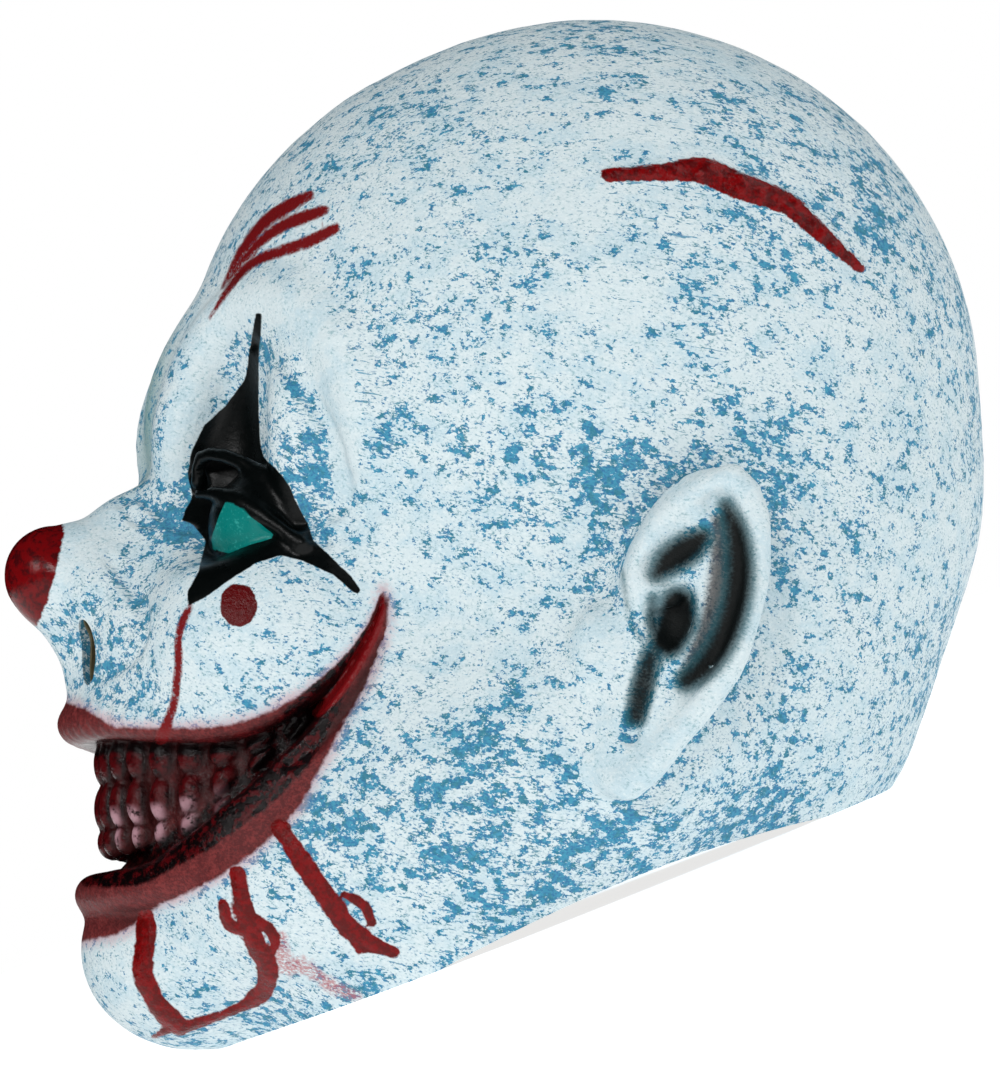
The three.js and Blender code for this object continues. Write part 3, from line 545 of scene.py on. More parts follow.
# Soft round areas of the head with more or less blue: the change, the middle and half sizes
WASH_AREAS = (
    (0.07, (60, 0, -90), (70, 80, 34)), (0.08, (30, -70, -132), (60, 60, 16)),
    (0.08, (40, -98, 30), (14, 16, 30)), (0.10, (54, -84, 8), (12, 16, 26)),
    (0.05, (76, -66, 40), (22, 26, 40)), (0.10, (18, -112, -4), (14, 14, 12)),
    (0.18, (16, -120, -44), (14, 18, 12)), (0.12, (92, 6, -90), (20, 30, 18)),
    (0.06, (92, -8, 8), (20, 18, 18)), (0.03, (80, 40, 60), (60, 70, 60)),
    (-0.16, (44, -98, -38), (26, 30, 30)), (-0.3, (0, -136, -12), (26, 26, 20)),
    (-0.2, (22, -96, 56), (18, 20, 14)), (-0.2, (60, -74, 34), (9, 12, 26)),
    (-0.14, (20, -104, 24), (8, 12, 22)), (-0.06, (70, -60, -20), (30, 30, 40)),
    (-0.08, (0, -110, -110), (50, 40, 30)), (-0.12, (88, -10, -40), (14, 12, 18)),
)
# Strokes airbrushed in the ear, each with its soft width and strength: black, then grey-brown
EAR_SHADES = (
    (
        (
            (61.8, 8.5, 0.2), (64.6, 1, 1.6), (65.6, -9, 2.2), (64.2, -19.5, 2.3), (60.8, -28.5, 2.2),
            (56.4, -35, 1.8), (51, -39.5, 1),
        ),
        4.5,
        1.05,
    ),
    (((43, -10, 0.8), (46.5, -6.5, 2.6), (51.5, -3, 2.8), (55.5, 0, 1)), 4.2, 1),
    (((48.6, -18.5, 2.6), (48.3, -23, 3.4), (46, -28, 2.8)), 5, 1.2),
    (((42, -17, 0.6), (41.5, -22, 0.6), (43.5, -28, 1.8), (41.5, -33.5, 2)), 3.4, 0.75),
    (((41, -33, 1.8), (39, -41, 2.4), (37.2, -49, 2)), 2.8, 0.85),
    (((33.5, -9.5, 0.1), (35.5, -22, 0.1), (40, -30, 0.3)), 2, 0.45),
)
EAR_BROWNS = (
    (((60.4, 4, 1.4), (60.8, -8, 2.2), (59, -20, 2.4), (55, -31.5, 2.2), (51.5, -38, 1.4)), 3.4, 1),
)
# A distance that means nowhere near
FAR = 30.0


def close_by(place, ends, reach):
    """The points that lie within reach of a shape's box on the side plane."""
    low, high = ends.min(0) - reach, ends.max(0) + reach
    u, v = place
    return np.flatnonzero((u > low[0]) & (u < high[0]) & (v > low[1]) & (v < high[1]))


def outline_distance(place, outline, reach=6):
    """The distance outside a closed outline, measured only near it."""
    ends = np.array(outline)
    near = close_by(place, ends, reach)
    out = np.full(len(place[0]), FAR)
    a, b = place[0][near], place[1][near]
    least = np.full(len(near), 1e9)
    inside = np.zeros(len(near), bool)
    for (ax, ay), (bx, by) in zip(ends, np.roll(ends, -1, 0)):
        dx, dy = bx - ax, by - ay
        t = np.clip(((a - ax) * dx + (b - ay) * dy) / (dx * dx + dy * dy), 0, 1)
        least = np.minimum(least, (a - ax - t * dx) ** 2 + (b - ay - t * dy) ** 2)
        if by != ay:
            inside ^= ((ay > b) != (by > b)) & (a < ax + dx * (b - ay) / dy)
    out[near] = np.sqrt(least) * np.where(inside, -1, 1)
    return out


def stroke_distance(place, stroke, reach=8):
    """The distance outside a stroke whose half width changes along it."""
    line = links(stroke, 3)
    near = close_by(place, line[:, :2], reach)
    out = np.full(len(place[0]), FAR)
    least = np.full(len(near), FAR)
    for a, b in zip(line[:-1], line[1:]):
        dx, dy = b[0] - a[0], b[1] - a[1]
        u, v = place[0][near] - a[0], place[1][near] - a[1]
        t = np.clip((u * dx + v * dy) / (dx * dx + dy * dy), 0, 1)
        away = np.sqrt((u - t * dx) ** 2 + (v - t * dy) ** 2)
        least = np.minimum(least, away - a[2] - t * (b[2] - a[2]))
    out[near] = least
    return out


def strokes_distance(place, strokes):
    return np.minimum.reduce([stroke_distance(place, stroke) for stroke in strokes])


def only(where, distance):
    """A painted shape's distance, with the shape kept to some of the points."""
    return np.where(where, distance, FAR)


def hashed(ix, iy, iz, seed):
    h = (ix * 73856093) ^ (iy * 19349663) ^ (iz * 83492791) ^ (seed * 2654435761)
    h = (h ^ (h >> 13)) * 1274126177
    return ((h ^ (h >> 16)) & 0xFFFF) / 65535.0


def noise(p, size, seed=0):
    """Smooth random values between -1 and 1 whose lumps are about this many millimetres."""
    cells = [np.floor(np.asarray(v, float) / size).astype(np.int64) for v in p]
    parts = [np.asarray(v, float) / size - c for v, c in zip(p, cells)]
    parts = [f * f * (3 - 2 * f) for f in parts]
    total = 0
    for corner in range(8):
        step = (corner & 1, (corner >> 1) & 1, corner >> 2)
        share = 1
        for s, f in zip(step, parts):
            share = share * (f if s else 1 - f)
        total = total + share * hashed(*(c + s for c, s in zip(cells, step)), seed)
    return total * 2 - 1


def ramp(value, low, high):
    t = np.clip((value - low) / (high - low), 0, 1)
    return t * t * (3 - 2 * t)


# Relief in millimetres: lumps of the cast, the raised scar and drips, creases, and lip pleats
# with their pitch in degrees round the mouth
CAST_LUMPS = (0.28, 0.14)
SCAR_RISE = 2.2
DRIP_RISE = 0.55
CREASE_DEPTH = 1.1
SMILE_DEPTH = 1.5
PLEAT_DEPTH = 0.6
PLEAT_PITCH = 4.4


def relief(p):
    """How far the cast and the thick paint rise over the plain form, in millimetres."""
    q = (np.abs(p[0]), p[1], p[2])
    place = side_place(q)
    left = p[0] > 0
    plain = ramp(-arch_place(q, TEETH)[1], -14, 2) * ramp(-q[1], 60, 80)
    h = CAST_LUMPS[0] * noise(p, 15, 1) + CAST_LUMPS[1] * noise(p, 5, 2)
    h = h * (1 - 0.6 * plain)
    scar = only(left & (p[2] > 20), stroke_distance(place, SCAR))
    lump = 0.75 + 0.5 * noise(p, 2.6, 4)
    h = h + SCAR_RISE * lump * np.sqrt(np.clip(-scar / 2.2, 0, 1))
    drips = only(left & (p[2] < -40), strokes_distance(place, DRIPS))
    h = h + DRIP_RISE * (1 + 0.4 * noise(p, 3, 5)) * np.sqrt(np.clip(-drips / 1.8, 0, 1))
    front = q[1] < -40
    creases = only(front, strokes_distance(place, CREASES))
    h = h - CREASE_DEPTH * ramp(-creases, -1.1, 0.7)
    crease = only(front, stroke_distance(place, SMILE_CREASE))
    h = h - SMILE_DEPTH * ramp(-crease, -1.2, 1.6)
    turn, out = arch_place(q, LIP)
    over = q[2] - along(turn, UPPER)
    pleats = ramp(-np.abs(over - 6), -7, -2) * ramp(-turn, -48, -30) * ramp(-np.abs(out), -14, -8)
    wave = np.cos(math.radians(360) * turn / PLEAT_PITCH + 1.2 * noise(p, 6, 6))
    return h - PLEAT_DEPTH * pleats * (0.5 + 0.5 * wave)


# How far the nets reach under the rim before the floor is cut away, the triangles that the skin
# and its lining are thinned to, and how much the thinning keeps the skin's triangles even
SKIRT = 6
SKIN_TRIANGLES = 178000
LINING_TRIANGLES = 12000
SKIN_EVENNESS = 3e-6
# Along each axis, the net's step at some places: (place, step), for the skin and its lining
SKIN_STEPS = (
    ((0.5, 1.0), (72, 1.05), (95, 1.4), (118, 1.5)),
    ((-160, 1.0), (-62, 1.0), (-40, 1.2), (38, 1.2), (100, 2.2), (122, 3)),
    ((-146, 1.2), (-105, 1.05), (62, 1.05), (100, 1.3), (145, 2.6)),
)
LINING_STEPS = (((1.2, 3), (100, 3.4)), ((-156, 3), (-60, 3.2), (124, 4)), ((-152, 3.2), (144, 4)))


def places(keys):
    """Places along an axis whose step changes evenly between keys (place, step)."""
    stops = [k[0] for k in keys]
    steps = [k[1] for k in keys]
    out = [stops[0]]
    while out[-1] < stops[-1]:
        out.append(out[-1] + float(np.interp(out[-1], stops, steps)))
    return np.array(out)


def points_of(axes, index):
    return tuple(axis[index[:, k]].astype(np.float32) for k, axis in enumerate(axes))


def sampled(field, axes, block=4):
    """The field on a lattice, worked out only in the blocks that its surface may cross."""
    picks = [np.unique(np.append(np.arange(0, len(a), block), len(a) - 1)) for a in axes]
    grid = np.stack(np.meshgrid(*picks, indexing="ij"), -1).reshape(-1, 3)
    coarse = field(points_of(axes, grid)).reshape([len(q) for q in picks])
    gap_shade = [np.diff(axis[pick]) for axis, pick in zip(axes, picks)]
    across = np.sqrt(sum(np.square(g) for g in np.meshgrid(*gap_shade, indexing="ij")))
    least = np.full(across.shape, 1e9)
    for c in range(8):
        part = coarse[tuple(slice(1, None) if c >> k & 1 else slice(None, -1) for k in range(3))]
        least = np.minimum(least, np.abs(part))

    def fill(array, cells, content):
        for cell in np.argwhere(cells):
            array[tuple(slice(pick[i], pick[i + 1] + 1) for pick, i in zip(picks, cell))] = content

    value = np.full([len(a) for a in axes], 1e3, np.float32)
    need = np.zeros(value.shape, bool)
    fill(need, least < across, True)
    fill(value, (coarse[:-1, :-1, :-1] < 0) & (least >= across), -1e3)
    index = np.argwhere(need)
    for part in np.array_split(index, max(1, len(index) // 200000)):
        value[tuple(part.T)] = field(points_of(axes, part))
    return value


def shifted(array, offset, whole=None):
    """The array's part that starts at an offset of 0 or 1 on each axis, but for one kept whole."""
    cut = [slice(o, n - 1 + o) for o, n in zip(offset, array.shape)]
    if whole is not None:
        cut[whole] = slice(None)
    return array[tuple(cut)]


def settle_signs(value):
    """Flips the weakest sign in each lattice square that two sheets of the surface would share."""
    changed = True
    for _ in range(12):
        if not changed:
            break
        inside = value < 0
        changed = False
        for k in range(3):
            corners = [np.insert((i, j), k, 0) for i in (0, 1) for j in (0, 1)]
            low, up, across, high = (shifted(inside, corner, k) for corner in corners)
            for spot in np.argwhere((low == high) & (up == across) & (low != up)):
                full = [at for at in (tuple(spot + corner) for corner in corners) if value[at] < 0]
                if len(full) == 2:
                    value[max(full, key=lambda at: value[at])] = 1e-3
                    changed = True
    return value


def surface_net(value, axes):
    """One point in each cell that the surface crosses, and one quad for each crossed edge."""
    inside = value < 0
    corners = [(a, b, c) for a in (0, 1) for b in (0, 1) for c in (0, 1)]
    count = sum(shifted(inside, c).astype(np.int8) for c in corners)
    cells = np.argwhere((count > 0) & (count < 8))
    number = np.full(count.shape, -1, np.int32)
    number[tuple(cells.T)] = np.arange(len(cells))
    total = np.zeros((len(cells), 3))
    hits = np.zeros(len(cells))
    for start in corners:
        for k in range(3):
            if start[k]:
                continue
            end = tuple(1 if i == k else start[i] for i in range(3))
            va = value[tuple((cells + start).T)]
            vb = value[tuple((cells + end).T)]
            cross = (va < 0) != (vb < 0)
            place = np.tile(np.array(start, float), (len(cells), 1))
            place[:, k] += np.where(cross, va / np.where(cross, va - vb, 1), 0)
            total += place * cross[:, None]
            hits += cross
    local = total / hits[:, None]
    points = np.empty((len(cells), 3))
    for k, axis in enumerate(axes):
        at = cells[:, k]
        points[:, k] = axis[at] + (axis[at + 1] - axis[at]) * local[:, k]
    quads = []
    for k in range(3):
        first = tuple(slice(0, n - (i == k)) for i, n in enumerate(value.shape))
        second = tuple(slice(int(i == k), n) for i, n in enumerate(value.shape))
        edges = np.argwhere(inside[first] != inside[second])
        i, j = [(1, 2), (2, 0), (0, 1)][k]
        for axis in (i, j):
            edges = edges[(edges[:, axis] > 0) & (edges[:, axis] < value.shape[axis] - 1)]
        ring = []
        for di, dj in ((-1, -1), (0, -1), (0, 0), (-1, 0)):
            cell = edges.copy()
            cell[:, i] += di
            cell[:, j] += dj
            ring.append(number[tuple(cell.T)])
        quad = np.stack(ring, 1)
        flip = ~inside[tuple(edges.T)]
        quad[flip] = quad[flip][:, ::-1]
        quads.append(quad)
    return points, np.vstack(quads)


def gradient(field, points, step=0.15):
    out = np.empty_like(points)
    for k in range(3):
        ahead, behind = points.copy(), points.copy()
        ahead[:, k] += step
        behind[:, k] -= step
        rise = field(tuple(ahead.T.astype(np.float32))) - field(tuple(behind.T.astype(np.float32)))
        out[:, k] = rise / (2 * step)
    return out


def outward(field, points, step=0.15):
    """The field's direction at points, one unit long where it is steep enough to tell."""
    slope = gradient(field, points, step)
    return slope / np.maximum(np.linalg.norm(slope, axis=1), 1e-6)[:, None]


def settled(field, points, rounds=2, most=1.2):
    """Points drawn onto the surface along the field's gradient."""
    for _ in range(rounds):
        away = field(tuple(points.T.astype(np.float32))).astype(float)
        slope = gradient(field, points)
        step = -(away / np.maximum((slope**2).sum(1), 0.05))[:, None] * slope
        length = np.linalg.norm(step, axis=1)
        points = points + step * np.minimum(1, most / np.maximum(length, 1e-9))[:, None]
    return points


def below(p):
    """The distance under the neck rim's plane."""
    return p[1] * math.sin(TILT) - (p[2] - RIM) * math.cos(TILT)


def skirted(field):
    """The field cut off a little way under the rim."""
    return lambda p: np.maximum(field(p), below(p) - SKIRT)


def mirrored_net(field, steps):
    """The net of a field that is the same on the left and the right, drawn onto its surface."""
    half, ys, zs = (places(keys) for keys in steps)
    value = sampled(field, (half, ys, zs))
    whole = settle_signs(np.concatenate([value[::-1], value]))
    points, quads = surface_net(whole, (np.concatenate([-half[::-1], half]), ys, zs))
    return settled(field, points), quads


def to_ground(points):
    """Upright millimetres to metres on the ground, with the head leaning back on its rim."""
    x, y, z = points.T
    c, s = math.cos(TILT), math.sin(TILT)
    return np.stack([x, y * c + z * s + CENTRE_SHIFT, z * c - y * s - GROUND], 1) / 1000


def to_head(points):
    """Metres on the ground to upright millimetres."""
    x, y, z = points.T * 1000
    c, s = math.cos(TILT), math.sin(TILT)
    y, z = y - CENTRE_SHIFT, z + GROUND
    return np.stack([x, y * c - z * s, y * s + z * c], 1)


def scene_object(name, data):
    thing = bpy.data.objects.new(name, data)
    bpy.context.scene.collection.objects.link(thing)
    return thing


def mesh_object(name, points, faces):
    mesh = bpy.data.meshes.new(name)
    mesh.from_pydata(np.asarray(points).tolist(), [], np.asarray(faces).tolist())
    mesh.update()
    return scene_object(name, mesh)


def applied(thing):
    """Takes up the object's modifiers into its mesh."""
    graph = bpy.context.evaluated_depsgraph_get()
    mesh = bpy.data.meshes.new_from_object(thing.evaluated_get(graph))
    thing.modifiers.clear()
    old = thing.data
    thing.data = mesh
    bpy.data.meshes.remove(old)


def thinned(thing, triangles, evenness=0.0):
    """Fewer triangles; with some evenness, long flat triangles are kept from forming."""
    modifier = thing.modifiers.new("thin", "DECIMATE")
    modifier.use_collapse_triangulate = True
    count = sum(len(p.vertices) - 2 for p in thing.data.polygons)
    modifier.ratio = min(1, triangles / count)
    if evenness:
        group = thing.vertex_groups.new(name="even")
        group.add(list(range(len(thing.data.vertices))), 0.01, "REPLACE")
        modifier.vertex_group = "even"
        modifier.vertex_group_factor = evenness
    applied(thing)
    thing.vertex_groups.clear()


def cut_by(thing, cutter):
    """Cuts a shape out of the object and throws the shape away."""
    modifier = thing.modifiers.new("cut", "BOOLEAN")
    modifier.operation = "DIFFERENCE"
    modifier.solver = "MANIFOLD"
    modifier.object = cutter
    applied(thing)
    mesh = cutter.data
    bpy.data.objects.remove(cutter)
    bpy.data.meshes.remove(mesh)


def rounded_cutter(shape, axis, degrees, side):
    """A stretched sphere on one side of the head, tilted with it."""
    (cx, cy, cz), half = shape
    ball = bmesh.new()
    bmesh.ops.create_icosphere(ball, subdivisions=4, radius=1)
    points = np.array([v.co[:] for v in ball.verts]) * half
    faces = np.array([[v.index for v in f.verts] for f in ball.faces])
    ball.free()
    turn = Matrix.Rotation(math.radians(degrees) * side, 3, axis)
    points = points @ np.array(turn.transposed()) + (cx * side, cy, cz)
    return mesh_object("cutter", to_ground(points), faces)


def floor_cutter():
    """The ground under the rim, arched a little over each shoulder."""
    half_wide, half_long, deep = 300, 400, 200
    middle, height, half = RIM_ARCH
    radius = (half**2 + height**2) / (2 * height)
    turns = np.linspace(-1, 1, 33) * math.asin(half / radius)
    arch = middle + CENTRE_SHIFT + radius * np.sin(turns)
    ys = np.concatenate([(-half_long,), arch, (half_long,)])
    zs = np.concatenate([(0,), height - radius + radius * np.cos(turns), (0,)])
    last = len(ys) - 1
    rows = []
    for x in (-half_wide, half_wide):
        for z in (zs, np.full(last + 1, -deep)):
            rows.append(np.stack([np.full(last + 1, x), ys, z], 1))
    point = np.arange(4 * (last + 1)).reshape(4, last + 1)
    quads = []
    for i in range(last):
        for a, b in ((0, 2), (3, 1), (1, 0), (2, 3)):
            quads.append((point[a, i], point[b, i], point[b, i + 1], point[a, i + 1]))
    quads.append((point[0, 0], point[1, 0], point[3, 0], point[2, 0]))
    quads.append((point[2, last], point[3, last], point[1, last], point[0, last]))
    return mesh_object("floor_cutter", np.concatenate(rows) / 1000, quads)


def skin():
    """The whole mask as one closed mesh: the outside less the inside, the floor and the holes."""
    field = skirted(outer)
    points, quads = mirrored_net(field, SKIN_STEPS)
    points = points + outward(field, points) * relief(tuple(points.T))[:, None]
    thing = mesh_object("mask_skin", to_ground(points), quads)
    thinned(thing, SKIN_TRIANGLES, SKIN_EVENNESS)

    points, quads = mirrored_net(skirted(lambda p: inner(p, WALL)), LINING_STEPS)
    core = mesh_object("lining", to_ground(points), quads)
    thinned(core, LINING_TRIANGLES)
    cut_by(thing, core)
    cut_by(thing, floor_cutter())
    for side in (1, -1):
        cut_by(thing, rounded_cutter(SLOT, "Y", 22, side))
        cut_by(thing, rounded_cutter(NOSTRIL, "Z", -41, side))
    return thing


def recess(p, reach):
    """1 deep in a hollow or a groove, 0 on flat or rounded places."""
    slope = outward(outer, np.stack(p, 1), 0.6)
    ahead = tuple((p[k] + slope[:, k] * reach).astype(np.float32) for k in range(3))
    return np.clip(1 - outer(ahead) / reach, 0, 1)


def blob(q, middle, size):
    """1 in the middle of a soft round area, 0 at its edge."""
    away = np.sqrt(sum(((q[k] - middle[k]) / size[k]) ** 2 for k in range(3)))
    return ramp(-away, -1, 0)


def tooth_tips(q):
    """1 on the bared tips of the teeth, in the two tiers under the gum."""
    turn, out, down, high, across, vary = tooth_place(q)
    part = down / high
    upper = ramp(part, 0.50, 0.58) * ramp(-part, -0.68, -0.63)
    lower = ramp(part, 0.68, 0.71) * ramp(-part, -0.86, -0.78)
    middle = ramp(-np.abs(across + 0.5), -3.2, -1.4)
    shown = ramp(out, -1.5, 1.2) * ramp(-turn, -58, -40) * ramp(turn, 8, 14)
    return np.maximum(upper, lower) * middle * shown


def tooth_gap_shade(q):
    """1 in the gaps between the teeth and between their tiers, where they are darkened as painted shade."""
    turn, out, down, high, across, vary = tooth_place(q)
    part = down / high
    tier = np.minimum(np.abs(part - 0.295), np.abs(part - 0.665)) * high
    return np.maximum(ramp(np.abs(across), 2.4, 4.0), 0.8 * ramp(-tier, -1.6, -0.4))


def washed_and_shaded(p, q):
    """How much of the blue wash shows through the pale paint, about -0.2 to 0.25; in the large hollows and
    inside the brow's ring the extra blue is also painted shade.
    """
    share = 0.045 * noise(p, 40, 31) + 0.035 * noise(p, 16, 32)
    for change, middle, size in WASH_AREAS:
        share += change * blob(q, middle, size)
    share -= 0.2 * (np.abs(tube(q, helix)) < 2.2)
    place = side_place(q)
    for change, stroke, soft in WASH_STROKES:
        share += change * (q[1] < -45) * ramp(-stroke_distance(place, stroke), -soft, 0.5)
    # The wash pooled in the large hollows, also laid as painted shade
    return share + 0.04 * recess(p, 14)


def upper_red(q):
    """The distance above the red that follows the upper edge of the mouth."""
    turn, out = arch_place(q, LIP)
    over = q[2] - along(turn, UPPER) - along(turn, RED_RISE)
    return only((over > -12) & (out > -12) & (out < 12) & (turn < 91), over)


def airbrushed(q, place, facing, strokes):
    """Soft strokes sprayed on the outward side of the ear: 1 at the middle, 0 where they fade out."""
    near = (q[0] > 76) & (q[1] > -37) & (q[1] < 53) & (q[2] > -95) & (q[2] < 25)
    shade = np.zeros(len(q[0]))
    for stroke, soft, strength in strokes:
        sprayed = ramp(-stroke_distance(place, stroke, 14), -1.2 * soft, 0.6 * soft)
        shade = np.maximum(shade, strength * sprayed)
    # The skull behind the ear stays clean
    above_skull = q[0] - 92 - 0.35 * (q[1] - 2)
    return shade * near * ramp(facing, -0.15, 0.2) * ramp(above_skull, -4, -1)


def painted(thing):
    """Gives each point the distances and shares that the paint follows."""
    mesh = thing.data
    flat = np.empty(len(mesh.vertices) * 3)
    mesh.vertices.foreach_get("co", flat)
    head = to_head(flat.reshape(-1, 3))
    p = tuple(head.T.astype(np.float32))
    q = (np.abs(p[0]), p[1], p[2])
    mesh.vertices.foreach_get("normal", flat)
    normal = to_head(flat.reshape(-1, 3)) - to_head(np.zeros((1, 3)))
    mirrored = np.sign(head[:, :1]) * (1, 0, 0) + (0, 1, 1)
    facing = (normal * mirrored * SIDE_BACK).sum(1) / 1000
    left = p[0] > 0
    wobble = np.where(left, 0, 1.2)
    place = side_place((q[0], q[1] + wobble * noise(p, 12, 21), q[2] + wobble * noise(p, 12, 22)))
    front = q[1] < -30

    patch = np.minimum(outline_distance(place, PATCH), strokes_distance(place, PATCH_TIPS))
    ball = only(front, np.abs(ellipsoid(q, EYEBALL)) - 1.0)
    lips = np.minimum(outline_distance(place, MOUTH_RED, 14), upper_red(q))
    drips = np.where(left, strokes_distance(place, DRIPS), strokes_distance(place, FAR_DRIPS))
    fields = {
        "patch": only(front & (q[0] > 12), patch),
        "iris": np.maximum(outline_distance(place, IRIS), ball),
        "cap": q[1] + 140 - 0.25 * (q[2] + 10),
        "red": only(front, strokes_distance(place, BROW_STROKES + (TEAR, SMILE))),
        "dot": only(front, stroke_distance(place, DOT)),
        "scar": only(left & (p[2] > 20), stroke_distance(place, SCAR)),
        "drips": only(p[2] < -40, drips),
        "smear": only(left & (p[2] < -60), stroke_distance(place, SMEAR)),
        "lips": only(front, lips),
        "inside": only(front, stroke_distance(place, INNER_LIP)),
        # Where painted shade darkens the lips along the smile crease
        "crease_shade": only(front, stroke_distance(place, SMILE_CREASE)),
        "mouth": ramp(-mouth_gap(q), -1.5, 1.5) * (q[1] < -40) * (q[0] < 62),
        "tips": tooth_tips(q),
        "gap_shade": tooth_gap_shade(q),
        "hollow": recess(p, 5),
        "ear": airbrushed(q, place, facing, EAR_SHADES),
        "brown": airbrushed(q, place, facing, EAR_BROWNS),
        "within": inner(p, WALL),
        "wash_and_shade": washed_and_shaded(p, q),
        "green": blob(q, (0, -112, 28), (18, 24, 40)),
        "scratch": blob(q, (50, -50, 98), (40, 40, 22)) + 0.8 * blob(q, (70, -70, 20), (24, 26, 30)),
    }
    for name, values in fields.items():
        layer = mesh.attributes.new(name, "FLOAT", "POINT")
        layer.data.foreach_set("value", np.ascontiguousarray(values, dtype=np.float32))


def linear(red, green, blue):
    """A colour read as 0 to 255 on a screen, as light."""
    shares = [v / 255 for v in (red, green, blue)]
    return tuple(v / 12.92 if v <= 0.04045 else ((v + 0.055) / 1.055) ** 2.4 for v in shares) + (1.0,)


# Colours of the paint, and of the bare latex inside
PALE = linear(203, 217, 221)
PALE_COOL = linear(188, 209, 217)
WHITE = linear(222, 231, 232)
DUST = linear(128, 166, 174)
BLUE = linear(26, 136, 168)
BLUE_DEEP = linear(0, 102, 150)
BLUE_GREEN = linear(8, 116, 126)
GREENISH = linear(104, 146, 144)
BLACK = linear(4, 7, 7)
TEAL = linear(0, 116, 110)
TEAL_LIGHT = linear(44, 150, 142)
CAP_RED = linear(104, 4, 8)
CAP_DARK = linear(62, 4, 8)
PAINT_RED = linear(112, 14, 18)
DOT_RED = linear(84, 6, 9)
BLOOD = linear(116, 2, 5)
BLOOD_DARK = linear(78, 3, 5)
DRIP_RED = linear(88, 6, 6)
LIP_RED = linear(118, 44, 44)
LIP_DUSK = linear(84, 28, 30)
# Dark red laid on the lips as painted shade
LIP_SHADE = linear(44, 14, 14)
PINK = linear(182, 138, 148)
GUM = linear(70, 8, 12)
# The mouth's black paint, also laid as painted shade in its hollows and between the teeth
MOUTH_BLACK = linear(10, 5, 6)
TOOTH = linear(180, 140, 150)
EAR_BLACK = linear(10, 15, 15)
EAR_TEAL = linear(24, 84, 94)
EAR_BROWN = linear(74, 68, 66)
LATEX = linear(150, 142, 112)
LATEX_DARK = linear(118, 108, 80)
SMEAR_RED = linear(176, 96, 96)


class Value:
    """A value that a material works out at each point, open to plain arithmetic."""

    def __init__(self, shader, socket):
        self.shader = shader
        self.socket = socket

    def __add__(self, other):
        return self.shader.math("ADD", self, other)

    def __sub__(self, other):
        return self.shader.math("SUBTRACT", self, other)

    def __rsub__(self, other):
        return self.shader.math("SUBTRACT", other, self)

    def __mul__(self, other):
        return self.shader.math("MULTIPLY", self, other)

    def swing(self, size):
        """A noise made to swing about nothing, half this size each way."""
        return (self - 0.5) * size

    def ramp(self, low, high):
        """0 at low and 1 at high, softly; low may be above high."""
        start, end = (0.0, 1.0) if low < high else (1.0, 0.0)
        ends = {"From Min": min(low, high), "From Max": max(low, high), "To Min": start, "To Max": end}
        settings = {"interpolation_type": "SMOOTHSTEP"}
        return self.shader.node("MapRange", "Result", {"Value": self, **ends}, **settings)


class Shader:
    """Short words for building a material's nodes."""

    def __init__(self, name):
        self.material = bpy.data.materials.new(name)
        self.material.use_nodes = True
        self.tree = self.material.node_tree

    def fill(self, node, values):
        for name, value in values.items():
            if isinstance(value, Value):
                self.tree.links.new(value.socket, node.inputs[name])
            else:
                node.inputs[name].default_value = value

    def surface(self, values):
        self.fill(self.tree.nodes["Principled BSDF"], values)

    def node(self, kind, output, values, **settings):
        """One output of a new node with these values on its inputs."""
        node = self.tree.nodes.new("ShaderNode" + kind)
        for name, value in settings.items():
            setattr(node, name, value)
        self.fill(node, values)
        return Value(self, node.outputs[output])

    def field(self, name):
        return self.node("Attribute", "Fac", {}, attribute_name=name)

    def math(self, kind, a, b):
        return self.node("Math", 0, {0: a, 1: b}, operation=kind)

    def most(self, *values):
        out = values[0]
        for value in values[1:]:
            out = self.math("MAXIMUM", out, value)
        return out

    def mix(self, share, a, b):
        return self.node("Mix", 2, {"Factor": share, 6: a, 7: b}, data_type="RGBA")

    def bump(self, height, distance, strength):
        return self.node("Bump", "Normal", {"Distance": distance, "Strength": strength, "Height": height})


